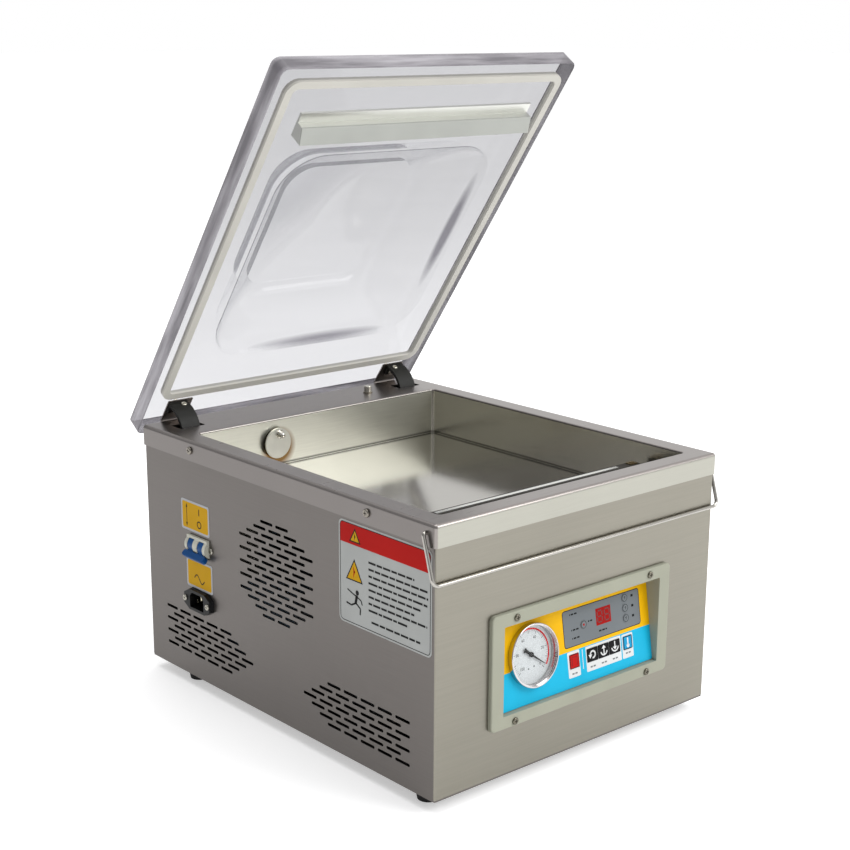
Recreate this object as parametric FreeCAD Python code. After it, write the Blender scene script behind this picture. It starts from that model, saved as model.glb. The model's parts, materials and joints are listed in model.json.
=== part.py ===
# Table-top vacuum packing machine: stainless cabinet, sunk vacuum chamber, hinged clear lid.
# Millimetres, +Z up, feet on Z = 0, operator side towards -Y.
import FreeCAD, Part
import math
import os
from FreeCAD import Vector as V

os.makedirs("parts", exist_ok=True)

# ---- driving dimensions -------------------------------------------------
ROW_X = 1.4                 # shift that centres the whole outline on the row origin
ROW_Y = -11.1
BODY_W = 362.6              # cabinet outside width
BODY_D = 456.3              # cabinet outside depth
SHEET = 1.5                 # cabinet sheet
FOOT_H = 13.0               # rubber foot height
DECK_Z = 268.0              # top face of the deck
DECK_T = 2.0                # deck sheet
COVER_OVER = 2.0            # deck cover overhang on each side
COVER_H = 21.0              # depth of the cover's turned-down edge
COVER_R = 3.5               # outer bend radius of the cover
CH_W = 320.4                # chamber opening
CH_Y0 = -208.5
CH_Y1 = 161.0
CH_FLOOR = 217.5            # chamber floor top face
CH_T = 2.0                  # chamber wall
CH_R = 4.0                  # chamber corner radius
LID_W = 368.5               # clear lid slab
LID_Y0 = -230.5
LID_Y1 = 235.0
LID_T = 18.5
LID_GAP = 2.8               # lid face above the deck when shut
LID_R = 8.0                 # lid plan corner radius
DOME_X = 134.0              # half width of the blown dome at the lid face
DOME_Y0 = -128.0
DOME_Y1 = 132.0
DOME_H = 50.0               # recess depth
DOME_T = 10.0               # dome wall
PIVOT_Y = 222.5             # lid hinge axis
PIVOT_Z = 256.6
LID_OPEN = 54.66            # opening angle of the lid, degrees
SHAFT_R = 3.5
RUN = 0.05                  # running clearance on a radius
ARM_X0 = 137.0              # hinge arm, inner face
ARM_W = 22.0
ARM_RO = 33.0               # hinge arm outer and inner arc radii
ARM_RI = 29.6
ARM_PLATE_T = 1.3           # stainless hinge plate under the arm foot
ARM_FOOT_T = 3.0
SLOT_Y0 = 187.0             # hinge slots through the deck
SLOT_Y1 = 205.6
SLOT_X0 = 133.0
SLOT_X1 = 163.0
GASKET_W = 8.0
GASKET_OUT = 2.5            # gasket height below the lid face
GASKET_IN = 3.0             # gasket depth in its groove
GASKET_X = 173.0            # gasket outer half width
GASKET_Y0 = -217.6
GASKET_Y1 = 184.5
GASKET_R = 14.0
BEZEL_X = 118.0             # control bezel half width
BEZEL_Z0 = 60.4
BEZEL_Z1 = 170.6
BEZEL_T = 4.3
BEZEL_R = 5.0
WIN_X = 103.3               # bezel window half width
WIN_Z0 = 72.8
WIN_Z1 = 158.2
POCKET_WALL = 2.5
PANEL_Y = -226.4            # lower edge of the sloping key panel
PANEL_Z = 72.4
PANEL_TILT = math.atan(0.155)
PANEL_H = 84.0
MEMBRANE_T = 1.0
KEY_GAP = 0.3
KEY_LOW = 0.7               # key underside above the pocket floor
KEY_T = 1.0
GAUGE_U = -57.0             # vacuum gauge centre on the sloping panel
GAUGE_W = 45.2
GAUGE_R = 30.0
BAIL_R = 1.8                # bail wire radius
BAIL_X = 186.8
BAIL_PY = -217.7            # bail pivot
BAIL_PZ = 258.9
BAIL_FY = -231.0            # bail cross wire
BAIL_FZ = 214.2
BREAKER_Y = 132.3
BREAKER_Z = 158.6
BREAKER_W = 36.0
BREAKER_H = 80.0
LEVER_PX = -178.5           # breaker lever axis
LEVER_REST = 48.0           # lever below level at rest, degrees
INLET_Y = 133.0
INLET_Z = 99.8
INLET_T = 5.0               # inlet flange proud of the side
INLET_SPAN = 40.0
BAR_Y0 = -164.0             # seal bar
BAR_Y1 = -152.0
BAR_TOP = 249.7
BAR_X = 140.0
POST_X = 90.0
POST_R = 4.0
PIN_X = 91.5                # lid switch plunger
PIN_Y = 195.1
PIN_R = 4.2
PIN_TUBE_R = 5.2            # guide tube round the plunger
PIN_UP = 8.0
PORT_X = -63.4              # suction port in the chamber's rear wall
PORT_Z = 242.6
PORT_R = 14.5
SLOT_L = 20.0               # cooling slots
SLOT_H = 3.0
SLOT_PITCH = 24.5
ROW_PITCH = 6.8

HX = BODY_W / 2
HY = BODY_D / 2
CX = HX + COVER_OVER
CY = HY + COVER_OVER
DECK_LOW = DECK_Z - DECK_T
FLANGE_LOW = DECK_Z - COVER_H
LID_Z = DECK_Z + LID_GAP
WALL_TOP = FLANGE_LOW + 2.0
BASE_TOP = FOOT_H + SHEET


# ---- building blocks ----------------------------------------------------
def box(x0, x1, y0, y1, z0, z1):
    return Part.makeBox(x1 - x0, y1 - y0, z1 - z0, V(x0, y0, z0))


def rod(p, axis, radius, length):
    return Part.makeCylinder(radius, length, V(*p), V(*axis))


def fused(*shapes):
    whole = shapes[0]
    for s in shapes[1:]:
        whole = whole.fuse(s)
    return whole.removeSplitter()


def edges_along(shape, axis):
    found = []
    for e in shape.Edges:
        if len(e.Vertexes) == 2:
            d = e.Vertexes[1].Point.sub(e.Vertexes[0].Point)
            if d.Length > 0 and abs(abs(d.dot(V(*axis))) - d.Length) < 1e-6:
                found.append(e)
    return found


def round_box(x0, x1, y0, y1, z0, z1, radius, axis=(0, 0, 1)):
    b = box(x0, x1, y0, y1, z0, z1)
    return b.makeFillet(radius, edges_along(b, axis))


def frame_ring(x0, x1, y0, y1, z0, z1, radius, width):
    outer = round_box(x0, x1, y0, y1, z0, z1, radius)
    inner = round_box(x0 + width, x1 - width, y0 + width, y1 - width, z0 - 1, z1 + 1,
                      radius - width)
    return outer.cut(inner)


def mirrored(shape):
    return shape.mirror(V(0, 0, 0), V(1, 0, 0))


def both(shape):
    return Part.makeCompound([shape, mirrored(shape)])


def prism(points, direction):
    wire = Part.makePolygon([V(*p) for p in points] + [V(*points[0])])
    return Part.Face(wire).extrude(V(*direction))


def pan_head(p, axis, radius, height, shank_r, shank_l):
    a = V(*axis)
    head = Part.makeCylinder(radius, height, V(*p), a)
    rim = [e for e in head.Edges if isinstance(e.Curve, Part.Circle)]
    far = max(rim, key=lambda e: e.CenterOfMass.dot(a))
    head = head.makeFillet(height * 0.6, [far])
    side = V(0, 0, 1) if abs(a.z) < 0.5 else V(1, 0, 0)
    cross = side.cross(a)
    cut_depth = height * 0.5
    centre = V(*p) + a * (height - cut_depth)
    for d, e in ((side, cross), (cross, side)):
        corner = centre - d * (radius * 0.55) - e * (radius * 0.11)
        bar = Part.makePolygon([corner, corner + d * (radius * 1.1),
                                corner + d * (radius * 1.1) + e * (radius * 0.22),
                                corner + e * (radius * 0.22), corner])
        head = head.cut(Part.Face(bar).extrude(a * (cut_depth + 1)))
    shank = Part.makeCylinder(shank_r, shank_l, V(*p) - a * shank_l, a)
    return head.fuse(shank)


def on_panel(shape):
    c = math.cos(PANEL_TILT)
    s = math.sin(PANEL_TILT)
    m = FreeCAD.Matrix(1, 0, 0, 0, 0, s, -c, PANEL_Y, 0, c, s, PANEL_Z, 0, 0, 0, 1)
    s = shape.copy()
    s.Placement = FreeCAD.Placement(m).multiply(s.Placement)
    return s


def open_lid(shape):
    s = shape.copy()
    s.rotate(V(0, PIVOT_Y, PIVOT_Z), V(1, 0, 0), -LID_OPEN)
    return s


def save(name, shape):
    s = shape.copy()
    s.translate(V(ROW_X, ROW_Y, 0))
    if not s.isValid():
        raise ValueError(name + " is not a valid solid")
    s.exportStep("parts/" + name + ".step")


# ---- cooling slots ------------------------------------------------------
def slot_wire(x, y, z):
    r = SLOT_H / 2
    y0 = y - r
    y1 = y - SLOT_L + r
    a = Part.LineSegment(V(x, y0, z + r), V(x, y1, z + r))
    b = Part.Arc(V(x, y1, z + r), V(x, y1 - r, z), V(x, y1, z - r))
    c = Part.LineSegment(V(x, y1, z - r), V(x, y0, z - r))
    d = Part.Arc(V(x, y0, z - r), V(x, y0 + r, z), V(x, y0, z + r))
    return Part.Wire([a.toShape(), b.toShape(), c.toShape(), d.toShape()])


VENT_A = [(25.2, 2), (36.7, 3), (48.6, 4), (60.8, 5), (48.6, 4), (60.8, 5), (48.6, 4), (60.8, 5),
          (48.6, 4), (60.8, 5), (48.6, 4), (60.8, 5), (48.6, 4), (36.3, 3), (24.1, 2)]
VENT_B = [(196.7, 5), (184.4, 5), (196.7, 6), (184.4, 6), (196.7, 6), (184.4, 5), (196.7, 5)]
VENT_C = [(-77.2, 5), (-65.0, 5), (-52.7, 6), (-40.5, 6), (-52.7, 6), (-65.0, 5), (-77.2, 5)]


def vents(x):
    wires = []
    for top, rows in ((211.3, VENT_A), (79.0, VENT_B), (77.2, VENT_C)):
        for i, (start, count) in enumerate(rows):
            for k in range(count):
                wires.append(slot_wire(x, start - k * SLOT_PITCH, top - i * ROW_PITCH))
    return wires


def side_sheet(x, thickness):
    y = HY - SHEET
    outer = Part.makePolygon([V(x, -y, BASE_TOP), V(x, y, BASE_TOP), V(x, y, WALL_TOP + 12),
                              V(x, -y, WALL_TOP + 12), V(x, -y, BASE_TOP)])
    face = Part.makeFace([outer] + vents(x), "Part::FaceMakerBullseye")
    return face.extrude(V(thickness, 0, 0))


# ---- cabinet ------------------------------------------------------------
SIDE_TOP = WALL_TOP + 12
BREAKER_NOSE = 9.9          # half height of the breaker's window
SCREW_HOLE = 1.7
SCREW_R = 1.6

base = box(-HX, HX, -HY, HY, FOOT_H, BASE_TOP)
base = base.makeFillet(2.0, edges_along(base, (0, 0, 1)))
save("base_plate", base)

front = box(-HX, HX, -HY, -HY + SHEET, BASE_TOP, SIDE_TOP)
front = front.makeFillet(1.2, [e for e in edges_along(front, (0, 0, 1)) if e.CenterOfMass.y < -HY + 0.1])
front = front.cut(box(-WIN_X - POCKET_WALL - 0.5, WIN_X + POCKET_WALL + 0.5, -HY - 1, -HY + 5,
                      WIN_Z0 - POCKET_WALL - 0.5, WIN_Z1 + POCKET_WALL + 0.5))
BEZEL_SCREWS = [(sx * 88.5, z) for sx in (-1, 1) for z in (65.4, 164.4)]
for x, z in BEZEL_SCREWS:
    front = front.cut(rod((x, -HY - 1, z), (0, 1, 0), SCREW_HOLE, 5))
save("front_panel", front)

left = side_sheet(-HX, SHEET)
left = left.cut(box(-HX - 1, -HX + 5, BREAKER_Y - BREAKER_W / 2 - 0.3, BREAKER_Y + BREAKER_W / 2 + 0.3,
                    BREAKER_Z - BREAKER_NOSE - 0.3, BREAKER_Z + BREAKER_NOSE + 0.3))
left = left.cut(box(-HX - 1, -HX + 5, INLET_Y - 14.3, INLET_Y + 14.3, INLET_Z - 10.3, INLET_Z + 10.3))
BREAKER_SCREWS = [(BREAKER_Y - 21.7, BREAKER_Z), (BREAKER_Y + 21.7, BREAKER_Z)]
INLET_SCREWS = [(INLET_Y - INLET_SPAN / 2, INLET_Z), (INLET_Y + INLET_SPAN / 2, INLET_Z)]
for y, z in BREAKER_SCREWS + INLET_SCREWS:
    left = left.cut(rod((-HX - 1, y, z), (1, 0, 0), SCREW_HOLE, 5))
COVER_SCREWS = [(141.0, 257.8), (-138.9, 257.8)]
for y, z in COVER_SCREWS:
    left = left.cut(rod((-HX - 1, y, z), (1, 0, 0), SCREW_HOLE, 5))
save("left_side_panel", left)

right = side_sheet(HX - SHEET, SHEET)
for y, z in COVER_SCREWS:
    right = right.cut(rod((HX - 3, y, z), (1, 0, 0), SCREW_HOLE, 5))
save("right_side_panel", right)

back = box(-HX, HX, HY - SHEET, HY, BASE_TOP, WALL_TOP)
back = back.makeFillet(1.2, [e for e in edges_along(back, (0, 0, 1)) if e.CenterOfMass.y > HY - 0.1])
FAN_X = -70.0
FAN_Z = 110.0
for ring, radius in enumerate((12, 24, 36)):
    n = 6 + 6 * ring
    for k in range(n):
        a = 2 * math.pi * k / n
        back = back.cut(rod((FAN_X + radius * math.cos(a), HY - 5, FAN_Z + radius * math.sin(a)),
                            (0, 1, 0), 1.9, 10))
save("back_panel", back)

# deck cover: shallow pan, open for the chamber, the two lid arms and the lid switch
pan = box(-CX, CX, -CY, CY, FLANGE_LOW, DECK_Z)
pan = pan.makeFillet(COVER_R, edges_along(pan, (0, 0, 1)))
pan = pan.makeFillet(COVER_R, [e for e in pan.Edges if e.BoundBox.ZMin > DECK_Z - 0.01])
INSET = SHEET
hollow = box(-CX + INSET, CX - INSET, -CY + INSET, CY - INSET, FLANGE_LOW - 1, DECK_LOW)
hollow = hollow.makeFillet(COVER_R - INSET, edges_along(hollow, (0, 0, 1)))
hollow = hollow.makeFillet(1.2, [e for e in hollow.Edges if e.BoundBox.ZMin > DECK_LOW - 0.01])
pan = pan.cut(hollow)
pan = pan.cut(round_box(-CH_W / 2, CH_W / 2, CH_Y0, CH_Y1, DECK_LOW - 1, DECK_Z + 1, CH_R))
MOUTH_R = 1.6               # rolled edge round the chamber mouth
mouth = [e for e in pan.Edges if e.BoundBox.ZMin > DECK_Z - 0.01 and abs(e.BoundBox.Center.x) < CH_W / 2 + 1
         and e.BoundBox.YMin > CH_Y0 - 1 and e.BoundBox.YMax < CH_Y1 + 1]
pan = pan.makeFillet(MOUTH_R, mouth)
for sx in (-1, 1):
    x0, x1 = sorted((sx * SLOT_X0, sx * SLOT_X1))
    pan = pan.cut(round_box(x0, x1, SLOT_Y0, SLOT_Y1, DECK_LOW - 1, DECK_Z + 1, 2.0))
pan = pan.cut(rod((PIN_X, PIN_Y, DECK_LOW - 1), (0, 0, 1), PIN_TUBE_R + 0.05, 4))
for y, z in COVER_SCREWS:
    pan = pan.cut(rod((-CX - 1, y, z), (1, 0, 0), SCREW_HOLE, 2 * CX + 2))
pan = pan.cut(rod((-CX - 1, BAIL_PY, BAIL_PZ), (1, 0, 0), BAIL_R + 0.1, 2 * CX + 2))
save("deck_cover", pan)

screws = []
for y, z in COVER_SCREWS:
    screws.append(pan_head((-CX, y, z), (-1, 0, 0), 4.0, 2.2, SCREW_R, 8))
    screws.append(pan_head((CX, y, z), (1, 0, 0), 4.0, 2.2, SCREW_R, 8))
save("cover_screws", Part.makeCompound(screws))

foot_spots = [(x, y) for x in (-161.0, 161.0) for y in (-197.0, 169.5)]
feet = []
for x, y in foot_spots:
    cone = Part.makeCone(10.0, 12.5, FOOT_H, V(x, y, 0))
    feet.append(cone.cut(rod((x, y, -1), (0, 0, 1), 5.0, 6)))
save("rubber_feet", Part.makeCompound(feet))

# ---- vacuum chamber -----------------------------------------------------
W2 = CH_W / 2
tray = round_box(-W2 - CH_T, W2 + CH_T, CH_Y0 - CH_T, CH_Y1 + CH_T, CH_FLOOR - CH_T, DECK_LOW,
                 CH_R + CH_T)
rim = round_box(-W2 - 10, W2 + 10, CH_Y0 - 10, CH_Y1 + 10, DECK_LOW - CH_T, DECK_LOW, 12)
tray = tray.fuse(rim)
tray = tray.cut(round_box(-W2, W2, CH_Y0, CH_Y1, CH_FLOOR, DECK_LOW + 1, CH_R))
tray = tray.cut(rod((PORT_X, CH_Y1 - 1, PORT_Z), (0, 1, 0), PORT_R, 6))
BAFFLE_SCREW_X = PORT_X + 2.4
BAFFLE_SCREW_Z = PORT_Z + 9.2
for sx in (-1, 1):
    tray = tray.cut(rod((sx * POST_X, (BAR_Y0 + BAR_Y1) / 2, CH_FLOOR - 5), (0, 0, 1),
                        POST_R + RUN, 10))
save("vacuum_chamber", tray.removeSplitter())

BAFFLE_Y = 155.0
BAFFLE_R = 16.2
disc = rod((PORT_X, BAFFLE_Y, PORT_Z), (0, 1, 0), BAFFLE_R, 1.5)
disc = disc.cut(rod((BAFFLE_SCREW_X, BAFFLE_Y - 1, BAFFLE_SCREW_Z), (0, 1, 0), SCREW_HOLE, 4))
save("port_baffle", disc)
acorn = Part.makeSphere(3.6, V(BAFFLE_SCREW_X, BAFFLE_Y - 3.2, BAFFLE_SCREW_Z))
acorn = acorn.fuse(rod((BAFFLE_SCREW_X, BAFFLE_Y - 3.2, BAFFLE_SCREW_Z), (0, 1, 0), 3.6, 3.2))
acorn = acorn.fuse(rod((BAFFLE_SCREW_X, BAFFLE_Y - 1, BAFFLE_SCREW_Z), (0, 1, 0), SCREW_R, 10.5))
acorn = acorn.fuse(rod((BAFFLE_SCREW_X, BAFFLE_Y - 0.8, BAFFLE_SCREW_Z), (0, 1, 0), 4.4, 0.8))
spacer = rod((BAFFLE_SCREW_X, BAFFLE_Y + 1.5, BAFFLE_SCREW_Z), (0, 1, 0), 3.0,
             CH_Y1 + CH_T - BAFFLE_Y - 1.5)
save("baffle_screw", acorn.fuse(spacer).removeSplitter())

# suction elbow behind the rear wall and the hose down to the pump
ELBOW_Y = CH_Y1 + CH_T
elbow = rod((PORT_X, ELBOW_Y, PORT_Z), (0, 1, 0), 9.0, 20)
elbow = elbow.fuse(rod((PORT_X, ELBOW_Y, PORT_Z), (0, 1, 0), 18.0, 3.0))
elbow = elbow.fuse(rod((PORT_X, ELBOW_Y + 20, PORT_Z + 2), (0, 0, -1), 9.0, 26))
elbow = elbow.cut(rod((PORT_X, ELBOW_Y - 1, PORT_Z), (0, 1, 0), 6.0, 21))
elbow = elbow.cut(rod((PORT_X, ELBOW_Y + 20, PORT_Z), (0, 0, -1), 6.0, 30))
elbow = elbow.cut(rod((BAFFLE_SCREW_X, ELBOW_Y - 1, BAFFLE_SCREW_Z), (0, 1, 0), SCREW_R, 5))
save("suction_elbow", elbow.removeSplitter())

HOSE_TOP = PORT_Z + 2 - 26
HOSE_LOW = 150.0
hose_y = ELBOW_Y + 20
hose = rod((PORT_X, hose_y, HOSE_LOW), (0, 0, 1), 9.0, HOSE_TOP - HOSE_LOW)
hose = hose.cut(rod((PORT_X, hose_y, HOSE_LOW - 1), (0, 0, 1), 6.0, HOSE_TOP - HOSE_LOW + 2))
save("suction_hose", hose)

# ---- pump, motor and electrics inside the cabinet -----------------------
PUMP_X = -65.2
pump = round_box(PUMP_X - 45, PUMP_X + 45, 60, 205, BASE_TOP, 118, 10)
pump = pump.fuse(rod((PORT_X, hose_y, 100), (0, 0, 1), 13.0, HOSE_LOW - 100))
pump = pump.fuse(rod((PUMP_X + 20, 110, 118 - 1), (0, 0, 1), 9.0, 8))
for k in range(5):
    pump = pump.cut(box(PUMP_X - 50, PUMP_X + 50, 80 + 16 * k, 84 + 16 * k, 104, 119))
save("vacuum_pump", pump.removeSplitter())

MOTOR_Z = BASE_TOP + 62
motor = rod((PUMP_X, -110, MOTOR_Z), (0, 1, 0), 52.0, 170)
for k in range(18):
    a = 2 * math.pi * k / 18
    fin = box(-1.2, 1.2, -95, 45, 50, 57)
    fin.rotate(V(0, 0, 0), V(0, 1, 0), math.degrees(a))
    fin.translate(V(PUMP_X, 0, MOTOR_Z))
    motor = motor.fuse(fin)
motor = motor.fuse(box(PUMP_X - 45, PUMP_X + 45, -80, 30, BASE_TOP, MOTOR_Z - 40))
save("pump_motor", motor.removeSplitter())

filt = rod((40, 150, BASE_TOP), (0, 0, 1), 38.0, 120)
filt = filt.fuse(rod((40, 150, BASE_TOP + 120), (0, 0, 1), 30.0, 14))
filt = filt.fuse(rod((PUMP_X + 44, 150, 80), (1, 0, 0), 11.0, 30))
save("exhaust_filter", filt.removeSplitter().cut(box(PUMP_X - 60, PUMP_X + 45, 0, 220, 0, 200)))

valve = box(60, 130, 80, 110, BASE_TOP, BASE_TOP + 30)
for k in range(2):
    valve = valve.fuse(rod((78 + 34 * k, 95, BASE_TOP + 30), (0, 0, 1), 13.0, 42))
save("solenoid_valve", valve.removeSplitter())

core = box(60, 150, -60, 10, BASE_TOP, BASE_TOP + 76)
core = core.cut(box(75, 95, -70, 20, BASE_TOP + 15, BASE_TOP + 61))
core = core.cut(box(115, 135, -70, 20, BASE_TOP + 15, BASE_TOP + 61))
save("transformer_core", core)
coil = round_box(76, 134, -74, 24, BASE_TOP + 16, BASE_TOP + 60, 6)
coil = coil.cut(box(95, 115, -60, 10, BASE_TOP + 10, BASE_TOP + 70))
coil = coil.cut(box(70, 75.1, -80, 30, BASE_TOP, BASE_TOP + 80))
save("transformer_coil", coil)

# ---- seal bar: rises on two posts out of the chamber floor --------------
BAR_YC = (BAR_Y0 + BAR_Y1) / 2
bar = box(-BAR_X - 8, BAR_X + 8, BAR_Y0, BAR_Y1, 234.0, BAR_TOP)
bar = bar.makeFillet(1.5, [e for e in edges_along(bar, (1, 0, 0)) if e.CenterOfMass.z > 240])
for sx in (-1, 1):
    bar = bar.fuse(rod((sx * POST_X, BAR_YC, 196.0), (0, 0, 1), POST_R, 39))
save("seal_bar", bar.removeSplitter())
save("heating_strip", box(-120, 120, BAR_YC - 2.2, BAR_YC + 2.2, BAR_TOP, BAR_TOP + 0.3))
terminal = box(136, 146, BAR_YC - 3.5, BAR_YC + 3.5, BAR_TOP, BAR_TOP + 1.0)
terminal = terminal.fuse(rod((141, BAR_YC, BAR_TOP), (0, 0, 1), 2.4, 1.6)).removeSplitter()
save("bar_terminals", both(terminal))

cylinders = []
for sx in (-1, 1):
    c = rod((sx * POST_X, BAR_YC, 175.0), (0, 0, 1), 14.0, CH_FLOOR - CH_T - 175.0)
    c = c.cut(rod((sx * POST_X, BAR_YC, 180.0), (0, 0, 1), POST_R + RUN, 60))
    cylinders.append(c)
save("lift_cylinders", Part.makeCompound(cylinders))

# ---- lid hinge ----------------------------------------------------------
save("hinge_shaft", rod((-169, PIVOT_Y, PIVOT_Z), (1, 0, 0), SHAFT_R, 338))
BRACKET_X0 = 163.5
bracket = box(BRACKET_X0, BRACKET_X0 + 3, 212.0, 227.0, 250.0, DECK_LOW)
bracket = bracket.makeFillet(2.5, [e for e in edges_along(bracket, (1, 0, 0)) if e.CenterOfMass.z < 255])
bracket = bracket.fuse(box(BRACKET_X0, BRACKET_X0 + 12, 212.0, 227.0, DECK_LOW - 2, DECK_LOW))
bracket = bracket.cut(rod((150, PIVOT_Y, PIVOT_Z), (1, 0, 0), SHAFT_R, 40))
save("shaft_brackets", both(bracket.removeSplitter()))

SPRING_R = 4.8              # coil mean radius
WIRE_R = 0.7
SPRING_X0 = 98.0
TURNS = 16
helix = Part.makeHelix(2.2, 2.2 * TURNS, SPRING_R)
start = helix.Vertexes[0].Point
section = Part.Wire([Part.Edge(Part.Circle(start, V(0, 1, 0.07), WIRE_R))])
spring = Part.Wire(helix.Edges).makePipeShell([section], True, True)
spring.rotate(V(0, 0, 0), V(0, 1, 0), 90)
spring.translate(V(SPRING_X0, PIVOT_Y, PIVOT_Z))
save("lid_springs", both(spring))

def arm(side):
    x0 = ARM_X0
    outer = rod((x0, PIVOT_Y, PIVOT_Z), (1, 0, 0), ARM_RO, ARM_W)
    ring = outer.cut(rod((x0 - 1, PIVOT_Y, PIVOT_Z), (1, 0, 0), ARM_RI, ARM_W + 2))
    foot_top = LID_Z - ARM_PLATE_T
    top_a = math.pi - math.asin((foot_top - 0.5 - PIVOT_Z) / ARM_RO)
    low_a = math.pi + math.radians(LID_OPEN)
    far = 2 * ARM_RO
    wedge = prism([(x0 - 1, PIVOT_Y, PIVOT_Z),
                   (x0 - 1, PIVOT_Y + far * math.cos(top_a), PIVOT_Z + far * math.sin(top_a)),
                   (x0 - 1, PIVOT_Y - far * 1.2, PIVOT_Z - far * 0.4),
                   (x0 - 1, PIVOT_Y + far * math.cos(low_a), PIVOT_Z + far * math.sin(low_a))],
                  (ARM_W + 2, 0, 0))
    curve = ring.common(wedge)
    lower_y = PIVOT_Y - math.sqrt(ARM_RO ** 2 - (foot_top - ARM_FOOT_T - PIVOT_Z) ** 2)
    foot = box(x0, x0 + ARM_W, lower_y, 203.0, foot_top - ARM_FOOT_T, foot_top)
    leg = box(x0, x0 + ARM_W, PIVOT_Y - ARM_RO + 0.6, PIVOT_Y, PIVOT_Z - 2.6, PIVOT_Z + 2.6)
    leg.rotate(V(0, PIVOT_Y, PIVOT_Z), V(1, 0, 0), LID_OPEN)
    hub = rod((x0, PIVOT_Y, PIVOT_Z), (1, 0, 0), 5.8, ARM_W)
    whole = fused(curve, foot, leg, hub)
    whole = whole.cut(rod((x0 - 1, PIVOT_Y, PIVOT_Z), (1, 0, 0), SHAFT_R + RUN, ARM_W + 2))
    whole = whole.cut(rod((x0 + ARM_W / 2 - 4, BOLT_Y, foot_top - ARM_FOOT_T - 1), (0, 0, 1), BOLT_R, 8))
    whole = whole.cut(rod(clamp_at(ARM_RI - 2), CLAMP_AXIS, CLAMP_R, 8))
    return whole if side > 0 else mirrored(whole)


BOLT_Y = 199.0
BOLT_R = 2.5
CLAMP_A = math.radians(LID_OPEN + 112.0)    # clamp screw round the arm's bend, lid shut
CLAMP_AXIS = (0, math.cos(CLAMP_A), math.sin(CLAMP_A))
CLAMP_R = 1.5


def clamp_at(radius):
    return (ARM_X0 + ARM_W / 2 - 4, PIVOT_Y + radius * CLAMP_AXIS[1], PIVOT_Z + radius * CLAMP_AXIS[2])


save("right_hinge_arm", open_lid(arm(1)))
save("left_hinge_arm", open_lid(arm(-1)))

plate = box(SLOT_X0 - 3, ARM_X0 + ARM_W + 1, 189.0, 219.0, LID_Z - ARM_PLATE_T, LID_Z)
plate = plate.makeFillet(1.0, edges_along(plate, (0, 0, 1)))
plate = plate.cut(rod((ARM_X0 + ARM_W / 2 - 4, BOLT_Y, LID_Z - 5), (0, 0, 1), BOLT_R, 8))
save("hinge_plates", open_lid(both(plate)))

bolt_z = LID_Z - ARM_PLATE_T - ARM_FOOT_T
bolt = pan_head((ARM_X0 + ARM_W / 2 - 4, BOLT_Y, bolt_z), (0, 0, -1), 3.8, 2.2, BOLT_R, 12)
clamp = pan_head(clamp_at(ARM_RO + 0.05), CLAMP_AXIS, 3.0, 1.7, CLAMP_R, 3.4)
save("hinge_bolts", open_lid(Part.makeCompound([bolt, mirrored(bolt), clamp, mirrored(clamp)])))

# ---- clear lid ----------------------------------------------------------
def dome_section(level, grow):
    # plan outline of the blown dome at a height fraction, pushed out by the wall
    top = 0.61
    f = 1 - (1 - top) * math.sin(level * math.pi / 2) ** 1.6
    hx = DOME_X * f + grow
    cy = (DOME_Y0 + DOME_Y1) / 2
    hy = (DOME_Y1 - DOME_Y0) / 2 * f + grow
    r = 46.0 * f + grow
    z = LID_Z + DOME_H * level
    pts = []
    for sx, sy, a0 in ((1, 1, 0), (-1, 1, 90), (-1, -1, 180), (1, -1, 270)):
        ox = sx * (hx - r)
        oy = cy + sy * (hy - r)
        for a in (a0, a0 + 45, a0 + 90):
            t = math.radians(a)
            pts.append(V(ox + r * math.cos(t), oy + r * math.sin(t), z))
    edges = []
    for k in range(4):
        p, q, s = pts[3 * k:3 * k + 3]
        edges.append(Part.Arc(p, q, s).toShape())
        edges.append(Part.LineSegment(s, pts[(3 * k + 3) % 12]).toShape())
    return Part.Wire(edges)


def dome_solid(grow, lift, base_drop):
    wires = []
    low = dome_section(0, grow)
    low.translate(V(0, 0, base_drop))
    wires.append(low)
    for level in (0.0, 0.1, 0.2, 0.3, 0.4, 0.5, 0.6, 0.7, 0.8, 0.88, 0.95, 1.0):
        w = dome_section(level, grow)
        w.translate(V(0, 0, lift * level))
        if base_drop != 0 or level > 0:
            wires.append(w)
    return Part.makeLoft(wires, True, True)


slab = round_box(-LID_W / 2, LID_W / 2, LID_Y0, LID_Y1, LID_Z, LID_Z + LID_T, LID_R)
lid = slab.fuse(dome_solid(DOME_T, DOME_T, 0))
lid = lid.cut(dome_solid(0, 0, -1.0))
groove = frame_ring(-GASKET_X, GASKET_X, GASKET_Y0, GASKET_Y1, LID_Z - 1, LID_Z + GASKET_IN,
                    GASKET_R, GASKET_W)
lid = lid.cut(groove)
for sx in (-1, 1):
    lid = lid.cut(rod((sx * (ARM_X0 + ARM_W / 2 - 4), BOLT_Y, LID_Z - 1), (0, 0, 1), BOLT_R, 12))
save("acrylic_lid", open_lid(lid))

gasket = frame_ring(-GASKET_X, GASKET_X, GASKET_Y0, GASKET_Y1, LID_Z - GASKET_OUT,
                    LID_Z + GASKET_IN, GASKET_R, GASKET_W)
save("lid_gasket", open_lid(gasket))

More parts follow.
